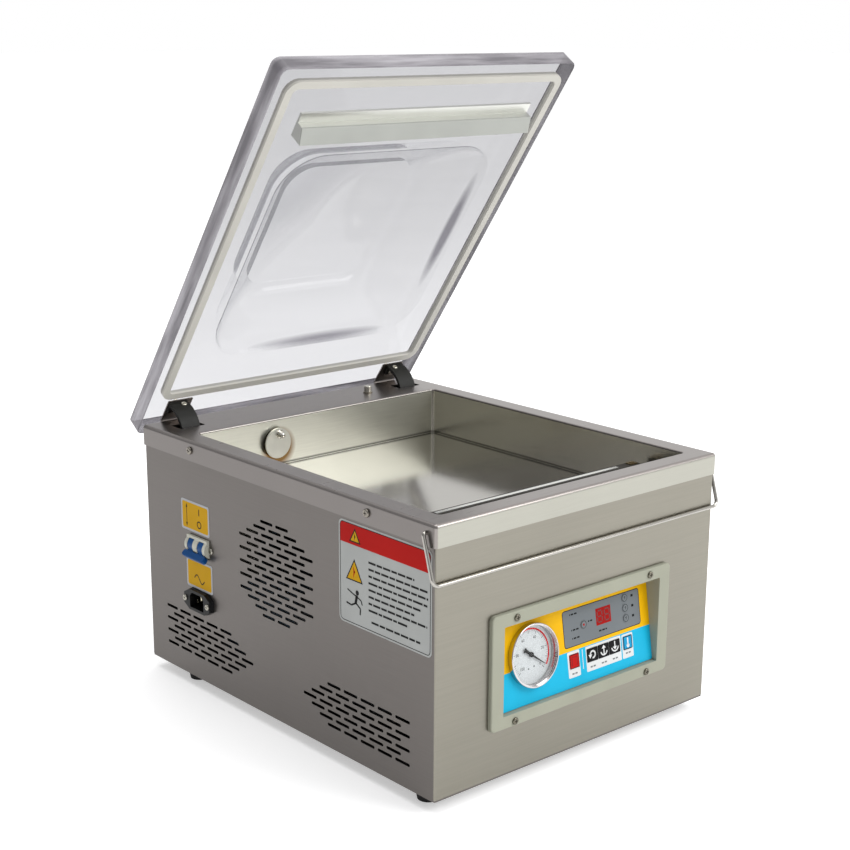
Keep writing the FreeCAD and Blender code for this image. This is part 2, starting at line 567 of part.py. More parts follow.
# pressure bar under the lid: aluminium hat section with a silicone face
PB_X = 145.0
PB_Y = LID_Y0 + 48.0
profile = [(-PB_X, PB_Y, LID_Z), (-PB_X, PB_Y, LID_Z - 2.5), (-PB_X, PB_Y + 10.5, LID_Z - 2.5),
           (-PB_X, PB_Y + 10.5, LID_Z - 9.0), (-PB_X, PB_Y + 26.0, LID_Z - 14.5),
           (-PB_X, PB_Y + 26.0, LID_Z)]
pressure = prism(profile, (2 * PB_X, 0, 0))
save("lid_pressure_bar", open_lid(pressure))
face = [(-PB_X, PB_Y + 10.5, LID_Z - 9.0), (-PB_X, PB_Y + 10.5, LID_Z - 10.5),
        (-PB_X, PB_Y + 26.0, LID_Z - 16.0), (-PB_X, PB_Y + 26.0, LID_Z - 14.5)]
save("pressure_strip", open_lid(prism(face, (2 * PB_X, 0, 0))))

# ---- lid switch on the rear ledge ---------------------------------------
pin = rod((PIN_X, PIN_Y, 246.0), (0, 0, 1), PIN_R, DECK_Z + PIN_UP - 246.0)
pin = pin.makeFillet(1.2, [e for e in pin.Edges if e.BoundBox.ZMin > DECK_Z + 2 and e.BoundBox.ZLength < 1])
save("lid_switch_pin", pin)
switch = box(PIN_X - 14, PIN_X + 14, PIN_Y - 5, PIN_Y + 5, 222.0, 239.0)
switch = switch.fuse(rod((PIN_X, PIN_Y, 238.0), (0, 0, 1), PIN_TUBE_R, DECK_Z + 1.2 - 238.0))
switch = switch.cut(rod((PIN_X, PIN_Y, 239.5), (0, 0, 1), PIN_R + RUN, 40))
save("lid_switch", switch.removeSplitter())

# ---- wire bail over the front edge --------------------------------------
def bail_wire():
    r = BAIL_R
    dy = BAIL_FY - BAIL_PY
    dz = BAIL_FZ - BAIL_PZ
    n = math.hypot(dy, dz)
    uy = dy / n
    uz = dz / n
    bend = 6.5
    inner = CX - 1.3
    p0 = V(-inner, BAIL_PY, BAIL_PZ)
    p1 = V(-BAIL_X + 2.2, BAIL_PY, BAIL_PZ)
    p2 = V(-BAIL_X, BAIL_PY + 2.2 * uy, BAIL_PZ + 2.2 * uz)
    p3 = V(-BAIL_X, BAIL_PY + (n - bend) * uy, BAIL_PZ + (n - bend) * uz)
    p4 = V(-BAIL_X + bend, BAIL_FY, BAIL_FZ)
    s = math.sqrt(0.5)
    m1 = V(-BAIL_X + 2.2 * (1 - s), BAIL_PY + 2.2 * (1 - s) * uy, BAIL_PZ + 2.2 * (1 - s) * uz)
    k = bend * (1 - s)
    m2 = V(-BAIL_X + k, BAIL_FY - k * uy, BAIL_FZ - k * uz)
    mid = V(0, BAIL_FY, BAIL_FZ)
    half = [Part.LineSegment(p0, p1).toShape(), Part.Arc(p1, m1, p2).toShape(),
            Part.LineSegment(p2, p3).toShape(), Part.Arc(p3, m2, p4).toShape(),
            Part.LineSegment(p4, mid).toShape()]
    path = Part.Wire(half)
    ring = Part.Wire([Part.Edge(Part.Circle(p0, V(1, 0, 0), r))])
    one = path.makePipeShell([ring], True, True)
    return fused(one, mirrored(one))


save("bail_wire", bail_wire())

# ---- control bezel and sloping key panel --------------------------------
BACK_Y = PANEL_Y + 17.5
bezel = round_box(-BEZEL_X, BEZEL_X, -HY - BEZEL_T, -HY, BEZEL_Z0, BEZEL_Z1, BEZEL_R, (0, 1, 0))
bezel = bezel.makeFillet(1.5, [e for e in bezel.Edges if e.BoundBox.YMax < -HY - BEZEL_T + 0.01])
bezel = bezel.fuse(box(-WIN_X - POCKET_WALL, WIN_X + POCKET_WALL, -HY - 1, BACK_Y,
                       WIN_Z0 - POCKET_WALL, WIN_Z1 + POCKET_WALL))
tilt_z = math.tan(PANEL_TILT)
y_top = PANEL_Y + (WIN_Z1 - PANEL_Z) * tilt_z
y_low = PANEL_Y + (WIN_Z0 - PANEL_Z) * tilt_z
pocket = prism([(-WIN_X, -HY - 20, WIN_Z0), (-WIN_X, y_low, WIN_Z0), (-WIN_X, y_top, WIN_Z1),
                (-WIN_X, -HY - 20, WIN_Z1)], (2 * WIN_X, 0, 0))
bezel = bezel.cut(pocket)
rear = prism([(-WIN_X, y_low + 2.6, WIN_Z0), (-WIN_X, BACK_Y + 1, WIN_Z0),
              (-WIN_X, BACK_Y + 1, WIN_Z1 - 12)], (2 * WIN_X, 0, 0))
bezel = bezel.cut(rear)
for x, z in BEZEL_SCREWS:
    bezel = bezel.cut(rod((x, -HY - 8, z), (0, 1, 0), SCREW_HOLE, 12))
bezel = bezel.cut(on_panel(rod((GAUGE_U, GAUGE_W, -8), (0, 0, 1), GAUGE_R - 1.5, 12)))
save("control_bezel", bezel.removeSplitter())
save("bezel_screws", Part.makeCompound([pan_head((x, -HY - BEZEL_T, z), (0, -1, 0), 3.4, 1.8, SCREW_R, 8)
                                        for x, z in BEZEL_SCREWS]))

KEYS = {                    # name: u0, u1, w0, w1
    "stop_key": (-9.9, 2.9, 18.7, 32.5),
    "seal_key": (63.8, 76.3, 19.0, 32.2),
    "mode_key_a": (13.6, 28.4, 19.3, 32.4),
    "mode_key_b": (29.0, 43.8, 19.3, 32.4),
    "mode_key_c": (44.4, 59.2, 19.3, 32.4),
}
LED = (29.8, 50.4, 51.2, 67.7)
DOTS = [(70.5, 69.3), (70.5, 59.4), (70.5, 49.4), (12.6, 56.8)]
sheet = round_box(-WIN_X + 0.2, WIN_X - 0.2, 1.0, PANEL_H, 0, MEMBRANE_T, 2.0)
for u0, u1, w0, w1 in KEYS.values():
    sheet = sheet.cut(box(u0 - KEY_GAP, u1 + KEY_GAP, w0 - KEY_GAP, w1 + KEY_GAP, -1, 3))
sheet = sheet.cut(box(LED[0], LED[1], LED[2], LED[3], -1, 3))
sheet = sheet.cut(rod((GAUGE_U, GAUGE_W, -1), (0, 0, 1), GAUGE_R - 1.5, 4))
for u, w in DOTS:
    button = Part.makeCylinder(3.7, 0.7, V(u, w, MEMBRANE_T - 0.1))
    top_edge = [e for e in button.Edges if e.BoundBox.ZMin > MEMBRANE_T + 0.5]
    sheet = sheet.fuse(button.makeFillet(0.4, top_edge))
save("membrane_panel", on_panel(sheet.removeSplitter()))
save("display_window", on_panel(box(LED[0] + 0.1, LED[1] - 0.1, LED[2] + 0.1, LED[3] - 0.1, 0, 1.2)))
for name, (u0, u1, w0, w1) in KEYS.items():
    cap = round_box(u0, u1, w0, w1, KEY_LOW, KEY_LOW + KEY_T, 1.0)
    cap = cap.makeFillet(0.4, [e for e in cap.Edges if e.BoundBox.ZMin > KEY_LOW + KEY_T - 0.01])
    save(name, on_panel(cap))

board = box(-20, 95, -202.0, -200.4, 80.0, 154.0)
parts = [box(-10, 20, -200.4, -188, 95, 115), box(30, 45, -200.4, -176, 90, 130),
         rod((65, -200.4, 105), (0, 1, 0), 8, 20), rod((65, -200.4, 128), (0, 1, 0), 6, 16),
         box(-16, -6, -200.4, -190, 125, 145)]
for p in parts:
    board = board.fuse(p)
for x in (-15, 90):
    for y, z in ((-220.3, 85), (BACK_Y, 149)):
        board = board.fuse(rod((x, y, z), (0, 1, 0), 2.5, -201 - y))
save("control_board", board.removeSplitter())

# ---- vacuum gauge -------------------------------------------------------
G0 = (GAUGE_U, GAUGE_W, 0)
case = rod((GAUGE_U, GAUGE_W, -26), (0, 0, 1), GAUGE_R - 1.8, 26 + 3.4)
case = case.cut(rod((GAUGE_U, GAUGE_W, -2.0), (0, 0, 1), GAUGE_R - 2.4, 10))
case = case.fuse(rod((GAUGE_U, GAUGE_W, -42), (0, 0, 1), 6.5, 16.5))
save("gauge_case", on_panel(case.removeSplitter()))
RING_LOW = MEMBRANE_T + 0.1
ring = rod((GAUGE_U, GAUGE_W, RING_LOW), (0, 0, 1), GAUGE_R, 7.0 - RING_LOW)
ring = ring.makeFillet(1.0, [e for e in ring.Edges if e.BoundBox.ZMin > 6.9])
for inner, low, high in ((1.8, 0, 3.4), (2.4, 3, 9), (1.9, 4.4, 9), (1.4, 5.7, 9)):
    ring = ring.cut(rod((GAUGE_U, GAUGE_W, low), (0, 0, 1), GAUGE_R - inner, high - low))
save("gauge_ring", on_panel(ring))
dial = rod((GAUGE_U, GAUGE_W, -2.0), (0, 0, 1), GAUGE_R - 2.5, 1.0)
save("gauge_dial", on_panel(dial.cut(rod((GAUGE_U, GAUGE_W, -3), (0, 0, 1), 1.3, 4))))
save("gauge_glass", on_panel(rod((GAUGE_U, GAUGE_W, 2.4), (0, 0, 1), GAUGE_R - 2.5, 1.0)))
NEEDLE = math.radians(-37)
needle = prism([(-9.6, -2.6, 0.4), (-7.6, -1.6, 0.4), (0, -1.0, 0.4), (20.8, -0.25, 0.4),
                (20.8, 0.25, 0.4), (0, 1.0, 0.4), (-7.6, 1.6, 0.4), (-9.6, 2.6, 0.4)], (0, 0, 0.5))
needle = needle.fuse(Part.makeCylinder(2.4, 1.4, V(0, 0, 0.2)))
needle = needle.fuse(Part.makeCylinder(1.2, 2.0, V(0, 0, -1.7)))
needle.rotate(V(0, 0, 0), V(0, 0, 1), math.degrees(NEEDLE))
needle.translate(V(*G0))
save("gauge_pointer", on_panel(needle.removeSplitter()))

# ---- circuit breaker ----------------------------------------------------
BX = -HX
nose_x = BX - 3.0
BW = BREAKER_W / 2
BODY_IN = BX + SHEET
CHEEK_R = 9.0               # rounded cheeks beside the lever blades
BLADE_R = 8.6
BLADE_Y0 = 4.4              # each blade's inner and outer face from the centre plane
BLADE_Y1 = 13.2
BLADE_GAP = 0.4
AXLE_R = 2.4
TIE_R0 = 9.5                # tie bar across the blades, nearest and furthest from the axis
TIE_R1 = 16.5
TIE_Y = 19.0
TIE_T = 6.0
body = box(BODY_IN, BODY_IN + 58, BREAKER_Y - BW, BREAKER_Y + BW,
           BREAKER_Z - BREAKER_H / 2, BREAKER_Z + BREAKER_H / 2)
body = body.fuse(box(nose_x, BODY_IN + 1, BREAKER_Y - BW, BREAKER_Y + BW,
                     BREAKER_Z - 6.0, BREAKER_Z + BREAKER_NOSE))
body = body.fuse(rod((LEVER_PX, BREAKER_Y - BW, BREAKER_Z), (0, 1, 0), CHEEK_R, BREAKER_W))
body = body.fuse(box(BODY_IN, BODY_IN + 2, BREAKER_Y - 26, BREAKER_Y + 26,
                     BREAKER_Z - 8, BREAKER_Z + 8))
for sy in (-1, 1):
    y0 = BREAKER_Y + (BLADE_Y0 - BLADE_GAP if sy > 0 else -BLADE_Y1 - BLADE_GAP)
    body = body.cut(rod((LEVER_PX, y0, BREAKER_Z), (0, 1, 0), CHEEK_R + 0.3,
                        BLADE_Y1 - BLADE_Y0 + 2 * BLADE_GAP))
body = body.cut(rod((LEVER_PX, BREAKER_Y - BLADE_Y1, BREAKER_Z), (0, 1, 0), AXLE_R + RUN, 2 * BLADE_Y1))
for y, z in BREAKER_SCREWS:
    body = body.cut(rod((BX - 5, y, z), (1, 0, 0), SCREW_HOLE, 12))
save("breaker_body", body.removeSplitter())

lever = rod((LEVER_PX, BREAKER_Y - BLADE_Y1, BREAKER_Z), (0, 1, 0), AXLE_R, 2 * BLADE_Y1)
for sy in (-1, 1):
    y0 = BREAKER_Y + (BLADE_Y0 if sy > 0 else -BLADE_Y1)
    width = BLADE_Y1 - BLADE_Y0
    lever = lever.fuse(rod((LEVER_PX, y0, BREAKER_Z), (0, 1, 0), BLADE_R, width))
    lever = lever.fuse(box(LEVER_PX - TIE_R0 - 1, LEVER_PX, y0, y0 + width, BREAKER_Z - 2.6, BREAKER_Z + 2.6))
tie = box(LEVER_PX - TIE_R1, LEVER_PX - TIE_R0, BREAKER_Y - TIE_Y, BREAKER_Y + TIE_Y,
          BREAKER_Z - TIE_T / 2, BREAKER_Z + TIE_T / 2)
tie = tie.makeFillet(2.9, edges_along(tie, (0, 0, 1)))
tie = tie.makeFillet(1.0, [e for e in tie.Edges if e.BoundBox.ZLength < 0.01])
lever = lever.fuse(tie)
lever.rotate(V(LEVER_PX, 0, BREAKER_Z), V(0, 1, 0), -LEVER_REST)
save("breaker_lever", lever.removeSplitter())

# ---- mains inlet --------------------------------------------------------
def inlet_outline(x, scale):
    corners = [(-24, -6), (-14, -11.5), (14, -11.5), (24, -6), (24, 6), (14, 11.5), (-14, 11.5), (-24, 6)]
    points = [V(x, INLET_Y + scale * y, INLET_Z + scale * z) for y, z in corners]
    return Part.makePolygon(points + [points[0]])


inlet = Part.makeLoft([inlet_outline(BX, 1.0), inlet_outline(BX - INLET_T, 0.95)], True, True)
inlet = inlet.fuse(box(BX - 1, BX + 20, INLET_Y - 14, INLET_Y + 14, INLET_Z - 10, INLET_Z + 10))
well = [(0, -12.2, -8), (0, 12.2, -8), (0, 12.2, 4), (0, 8.4, 8), (0, -8.4, 8), (0, -12.2, 4)]
well = prism(well, (18, 0, 0))
well.translate(V(BX - INLET_T - 0.5, INLET_Y, INLET_Z))
inlet = inlet.cut(well)
for y, z in INLET_SCREWS:
    inlet = inlet.cut(rod((BX - INLET_T - 1, y, z), (1, 0, 0), SCREW_HOLE, 12))
pins = [box(BX + 1, BX + 27, INLET_Y + dy - 1, INLET_Y + dy + 1, INLET_Z + dz - 2, INLET_Z + dz + 2)
        for dy, dz in ((-7, -2), (7, -2), (0, 2))]
for blade in pins:
    inlet = inlet.cut(blade)
save("power_inlet", inlet.removeSplitter())
save("inlet_pins", Part.makeCompound(pins))
small = [pan_head((BX, y, z), (-1, 0, 0), 3.2, 1.8, SCREW_R, 8) for y, z in BREAKER_SCREWS]
small += [pan_head((BX - INLET_T, y, z), (-1, 0, 0), 3.2, 1.8, SCREW_R, 8) for y, z in INLET_SCREWS]
save("socket_screws", Part.makeCompound(small))

# ---- labels -------------------------------------------------------------
LABEL_T = 0.25
save("switch_label", round_box(BX - LABEL_T, BX, 112.9, 163.0, 172.0, 204.0, 2.5, (1, 0, 0)))
save("supply_label", round_box(BX - LABEL_T, BX, 109.8, 156.2, 111.9, 142.8, 2.5, (1, 0, 0)))
save("warning_label", round_box(BX - LABEL_T, BX, -223.6, -96.8, 146.5, 243.8, 5.5, (1, 0, 0)))
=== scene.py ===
import json
import math

import bmesh
import bpy
from mathutils import Matrix, Vector


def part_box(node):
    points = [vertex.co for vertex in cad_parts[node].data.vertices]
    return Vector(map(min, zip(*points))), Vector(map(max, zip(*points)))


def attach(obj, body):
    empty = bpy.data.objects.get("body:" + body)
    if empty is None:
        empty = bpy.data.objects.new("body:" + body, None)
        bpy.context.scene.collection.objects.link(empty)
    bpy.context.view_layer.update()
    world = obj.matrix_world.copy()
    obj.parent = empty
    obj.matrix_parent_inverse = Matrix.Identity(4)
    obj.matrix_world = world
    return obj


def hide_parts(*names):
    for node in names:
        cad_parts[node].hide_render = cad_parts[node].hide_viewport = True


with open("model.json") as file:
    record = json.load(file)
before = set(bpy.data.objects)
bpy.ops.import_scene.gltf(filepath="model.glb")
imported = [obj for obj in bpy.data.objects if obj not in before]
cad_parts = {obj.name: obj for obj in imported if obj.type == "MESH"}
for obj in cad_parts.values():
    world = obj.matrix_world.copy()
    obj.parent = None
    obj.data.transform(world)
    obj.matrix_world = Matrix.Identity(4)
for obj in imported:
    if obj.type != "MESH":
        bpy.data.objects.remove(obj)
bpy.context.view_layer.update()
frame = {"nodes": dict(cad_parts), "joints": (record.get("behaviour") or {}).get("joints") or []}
NODES = frame["nodes"]
JOINTS = {j["name"]: j for j in frame["joints"]}
MM = 0.001
scene = bpy.context.scene

ALONG_AXIS = 0.93           # cosine past which a face counts as pointing along an axis
GRAZING_POWER = 5.0         # how steeply a clear sheet's reflection grows towards grazing
SHEET_MIRROR = (0.015, 0.5)  # a clear sheet's reflection face-on and at grazing
TINT_FADE = (0.60, 0.99)    # where its tint starts and ends between face-on and edge-on
# painted shade: dark streaks on a clear sheet, standing in for refraction in its curved walls
STREAK_SHADE_TONE = (0.42, 0.41, 0.44)
STREAK_SHADE_FADE = (0.45, 1.0)     # a painted shade streak is darkest inside the first share of its radii and gone at the second
EDGE_SOLID = 0.6            # share of a sawn edge that hides what lies behind it


# ---- node helpers -------------------------------------------------------
class Graph:
    """A material with its node tree and a short way to add and join nodes."""

    def __init__(self, name, mat=None):
        self.mat = mat or bpy.data.materials.new(name)
        self.mat.use_nodes = True
        self.tree = self.mat.node_tree
        self.bsdf = self.tree.nodes["Principled BSDF"]

    def add(self, kind, **values):
        node = self.tree.nodes.new(kind)
        for key, value in values.items():
            if key.startswith("in_"):
                node.inputs[key[3:].replace("_", " ")].default_value = value
            else:
                setattr(node, key, value)
        return node

    def join(self, out, target):
        self.tree.links.new(out, target)

    def set(self, **values):
        for key, value in values.items():
            self.bsdf.inputs[key.replace("_", " ")].default_value = value

    def place(self, scale=(1, 1, 1)):
        coords = self.add("ShaderNodeTexCoord")
        mapping = self.add("ShaderNodeMapping")
        mapping.inputs["Scale"].default_value = scale
        self.join(coords.outputs["Object"], mapping.inputs["Vector"])
        return mapping.outputs["Vector"]

    def noise(self, scale, detail=3.0, stretch=(1, 1, 1), rough=0.5):
        node = self.add("ShaderNodeTexNoise", in_Scale=scale, in_Detail=detail, in_Roughness=rough)
        self.join(self.place(stretch), node.inputs["Vector"])
        return node.outputs["Fac"]

    def ramp(self, fac, low, high, a=0.3, b=0.7):
        node = self.add("ShaderNodeValToRGB")
        node.color_ramp.elements[0].position = a
        node.color_ramp.elements[1].position = b
        node.color_ramp.elements[0].color = (*low, 1)
        node.color_ramp.elements[1].color = (*high, 1)
        self.join(fac, node.inputs["Fac"])
        return node.outputs["Color"]

    def span(self, fac, low, high):
        node = self.add("ShaderNodeMapRange")
        node.inputs["To Min"].default_value = low
        node.inputs["To Max"].default_value = high
        self.join(fac, node.inputs["Value"])
        return node.outputs["Result"]

    def facing_way(self, axis, sign):
        """1 on faces whose normal points along the signed axis, else 0."""
        coords = self.add("ShaderNodeTexCoord")
        split = self.add("ShaderNodeSeparateXYZ")
        self.join(coords.outputs["Normal"], split.inputs["Vector"])
        turn = self.add("ShaderNodeMath", operation="MULTIPLY")
        turn.inputs[1].default_value = sign
        self.join(split.outputs[axis], turn.inputs[0])
        over = self.add("ShaderNodeMath", operation="GREATER_THAN")
        over.inputs[1].default_value = ALONG_AXIS
        self.join(turn.outputs[0], over.inputs[0])
        return over.outputs[0]

    def bump(self, fac, strength, distance):
        node = self.add("ShaderNodeBump", in_Strength=strength, in_Distance=distance)
        self.join(fac, node.inputs["Height"])
        self.join(node.outputs["Normal"], self.bsdf.inputs["Normal"])


def shade(colour, factor):
    """The colour made lighter or darker by a factor."""
    return tuple(min(1.0, value * factor) for value in colour)


def brushed(name, colour, rough=0.3, stretch=(0.02, 1, 1), spread=0.035, cloud=0.07, aniso=0.3, faces=()):
    """Stainless sheet: fine grain lines drawn out along one axis, and slow cloudy patches.

    faces lists (normal axis, sign, colour, roughness) for walls that catch the light differently."""
    g = Graph(name)
    grain = g.noise(700, 4, stretch)
    patch = g.noise(6, 3, (1, 1, 0.5))
    mix = g.add("ShaderNodeMix", data_type="RGBA", blend_type="MULTIPLY")
    mix.inputs["Factor"].default_value = 1.0
    base = g.ramp(grain, shade(colour, 1 - spread), shade(colour, 1 + spread))
    dull = g.span(grain, rough - 0.03, rough + 0.05)
    for axis, sign, tone, polish in faces:
        over = g.facing_way(axis, sign)
        pick = g.add("ShaderNodeMix", data_type="RGBA")
        g.join(over, pick.inputs["Factor"])
        g.join(base, pick.inputs["A"])
        g.join(g.ramp(grain, shade(tone, 1 - spread), shade(tone, 1 + spread)), pick.inputs["B"])
        base = pick.outputs["Result"]
        wear = g.add("ShaderNodeMix", data_type="FLOAT")
        g.join(over, wear.inputs["Factor"])
        g.join(dull, wear.inputs["A"])
        g.join(g.span(grain, polish - 0.02, polish + 0.04), wear.inputs["B"])
        dull = wear.outputs["Result"]
    g.join(base, mix.inputs["A"])
    g.join(g.ramp(patch, (1 - cloud,) * 3, (1, 1, 1)), mix.inputs["B"])
    g.join(mix.outputs["Result"], g.bsdf.inputs["Base Color"])
    g.join(dull, g.bsdf.inputs["Roughness"])
    g.set(Metallic=1.0, Anisotropic=aniso)
    g.bump(grain, 0.02, 0.0001)
    return g.mat


def moulded(name, colour, rough=0.45, grain=1400, depth=0.12, shine=0.15, painted_glow=0.0):
    """Moulded plastic or film: fine pebble, faint colour drift; the last argument is painted light, a glow
    of the part's own that stands in for light that silicone scatters.
    """
    g = Graph(name)
    pebble = g.noise(grain, 2)
    drift = g.noise(18, 2)
    tone = g.ramp(drift, shade(colour, 0.95), shade(colour, 1.04))
    g.join(tone, g.bsdf.inputs["Base Color"])
    g.join(tone, g.bsdf.inputs["Emission Color"])
    g.join(g.span(pebble, rough - 0.04, rough + 0.05), g.bsdf.inputs["Roughness"])
    g.set(Specular_IOR_Level=shine, Emission_Strength=painted_glow)
    g.bump(pebble, depth, 0.0002)
    return g.mat


def metal(name, colour, rough=0.2, scale=500, stretch=(1, 1, 1), spread=0.06):
    """Turned, ground or plated metal: fine wear in colour, gloss and surface."""
    g = Graph(name)
    n = g.noise(scale, 3, stretch)
    g.join(g.ramp(n, shade(colour, 1 - spread), shade(colour, 1 + spread)), g.bsdf.inputs["Base Color"])
    g.join(g.span(n, rough * 0.8, rough * 1.3), g.bsdf.inputs["Roughness"])
    g.set(Metallic=1.0)
    g.bump(n, 0.04, 0.0002)
    return g.mat


def painted(name, colour, rough=0.4, scale=260, depth=0.15):
    """Paint or varnish with a light orange-peel surface."""
    g = Graph(name)
    n = g.noise(scale, 4)
    g.join(g.ramp(n, shade(colour, 0.85), shade(colour, 1.12)), g.bsdf.inputs["Base Color"])
    g.join(g.span(n, rough - 0.05, rough + 0.1), g.bsdf.inputs["Roughness"])
    g.set(Specular_IOR_Level=0.25)
    g.bump(n, depth, 0.0003)
    return g.mat


def two_tone(name, upper, lower, level, rough=0.35):
    """Printed film whose colour changes at one height in the row frame."""
    g = Graph(name)
    split = g.add("ShaderNodeSeparateXYZ")
    g.join(g.place(), split.inputs["Vector"])
    edge = g.add("ShaderNodeMath", operation="GREATER_THAN")
    edge.inputs[1].default_value = level
    g.join(split.outputs["Z"], edge.inputs[0])
    drift = g.noise(30, 2)
    mix = g.add("ShaderNodeMix", data_type="RGBA")
    g.join(edge.outputs[0], mix.inputs["Factor"])
    g.join(g.ramp(drift, shade(lower, 0.96), shade(lower, 1.03)), mix.inputs["A"])
    g.join(g.ramp(drift, shade(upper, 0.96), shade(upper, 1.03)), mix.inputs["B"])
    g.join(mix.outputs["Result"], g.bsdf.inputs["Base Color"])
    g.join(g.span(drift, rough - 0.03, rough + 0.05), g.bsdf.inputs["Roughness"])
    g.set(Specular_IOR_Level=0.08)
    g.bump(g.noise(1600, 2), 0.05, 0.0001)
    return g.mat


def clear(name, face, edge_on, sheen=0.9, shade_streaks=()):
    """Clear sheet: passes light with a tint that deepens edge-on, and reflects more towards grazing.

    The last argument lists (centre, turn, radii) of painted shade: dark streaks that stand in for the
    refraction where a blown sheet's walls curve."""
    g = Graph(name)
    bump = g.add("ShaderNodeBump", in_Strength=0.02, in_Distance=0.0006)
    g.join(g.noise(14, 1), bump.inputs["Height"])
    weight = g.add("ShaderNodeLayerWeight", in_Blend=0.5)
    facing = weight.outputs["Facing"]
    steep = g.add("ShaderNodeMath", operation="POWER")
    steep.inputs[1].default_value = GRAZING_POWER
    g.join(facing, steep.inputs[0])
    through = g.add("ShaderNodeBsdfTransparent")
    tint = g.ramp(facing, face, edge_on, *TINT_FADE)
    for centre, turn, radii in shade_streaks:
        coords = g.add("ShaderNodeTexCoord")
        local = g.add("ShaderNodeMapping", vector_type="TEXTURE")
        local.inputs["Location"].default_value = centre
        local.inputs["Rotation"].default_value = turn
        local.inputs["Scale"].default_value = radii
        g.join(coords.outputs["Object"], local.inputs["Vector"])
        far = g.add("ShaderNodeVectorMath", operation="LENGTH")
        g.join(local.outputs["Vector"], far.inputs[0])
        dark = g.add("ShaderNodeMix", data_type="RGBA", blend_type="MULTIPLY")
        dark.inputs["Factor"].default_value = 1.0
        g.join(tint, dark.inputs["A"])
        g.join(g.ramp(far.outputs["Value"], STREAK_SHADE_TONE, (1, 1, 1), *STREAK_SHADE_FADE), dark.inputs["B"])
        tint = dark.outputs["Result"]
    g.join(tint, through.inputs["Color"])
    gloss = g.add("ShaderNodeBsdfGlossy")
    gloss.inputs["Color"].default_value = (sheen, sheen, sheen, 1)
    g.join(g.span(g.noise(9, 2), 0.02, 0.06), gloss.inputs["Roughness"])
    g.join(bump.outputs["Normal"], gloss.inputs["Normal"])
    mix = g.add("ShaderNodeMixShader")
    g.join(g.span(steep.outputs[0], *SHEET_MIRROR), mix.inputs[0])
    g.join(through.outputs[0], mix.inputs[1])
    g.join(gloss.outputs[0], mix.inputs[2])
    g.join(mix.outputs[0], g.tree.nodes["Material Output"].inputs["Surface"])
    g.tree.nodes.remove(g.bsdf)
    return g.mat


def sawn_edge(name, low, high, turn):
    """Polished edge of a thick clear slab: it gathers light, with soft bands running along it."""
    g = Graph(name)
    coords = g.add("ShaderNodeTexCoord")
    along = g.add("ShaderNodeMapping", vector_type="TEXTURE")
    along.inputs["Rotation"].default_value = turn
    along.inputs["Scale"].default_value = (6, 6, 0.6)
    g.join(coords.outputs["Object"], along.inputs["Vector"])
    bands = g.add("ShaderNodeTexNoise", in_Scale=60, in_Detail=4)
    g.join(along.outputs["Vector"], bands.inputs["Vector"])
    tone = g.ramp(bands.outputs["Fac"], low, high, 0.35, 0.65)
    through = g.add("ShaderNodeBsdfTransparent")
    g.join(tone, through.inputs["Color"])
    g.join(tone, g.bsdf.inputs["Base Color"])
    g.join(g.span(g.noise(30, 2), 0.08, 0.16), g.bsdf.inputs["Roughness"])
    g.set(Specular_IOR_Level=0.35)
    g.bump(bands.outputs["Fac"], 0.05, 0.0004)
    mix = g.add("ShaderNodeMixShader")
    mix.inputs[0].default_value = EDGE_SOLID
    g.join(through.outputs[0], mix.inputs[1])
    g.join(g.bsdf.outputs[0], mix.inputs[2])
    g.join(mix.outputs[0], g.tree.nodes["Material Output"].inputs["Surface"])
    return g.mat


def glow(name, colour, strength):
    """A display segment: deep colour with a faint light of its own."""
    g = Graph(name)
    n = g.noise(300, 2)
    g.join(g.ramp(n, shade(colour, 0.8), colour), g.bsdf.inputs["Base Color"])
    g.join(g.ramp(n, shade(colour, 0.85), colour), g.bsdf.inputs["Emission Color"])
    g.set(Emission_Strength=strength, Roughness=0.4)
    return g.mat
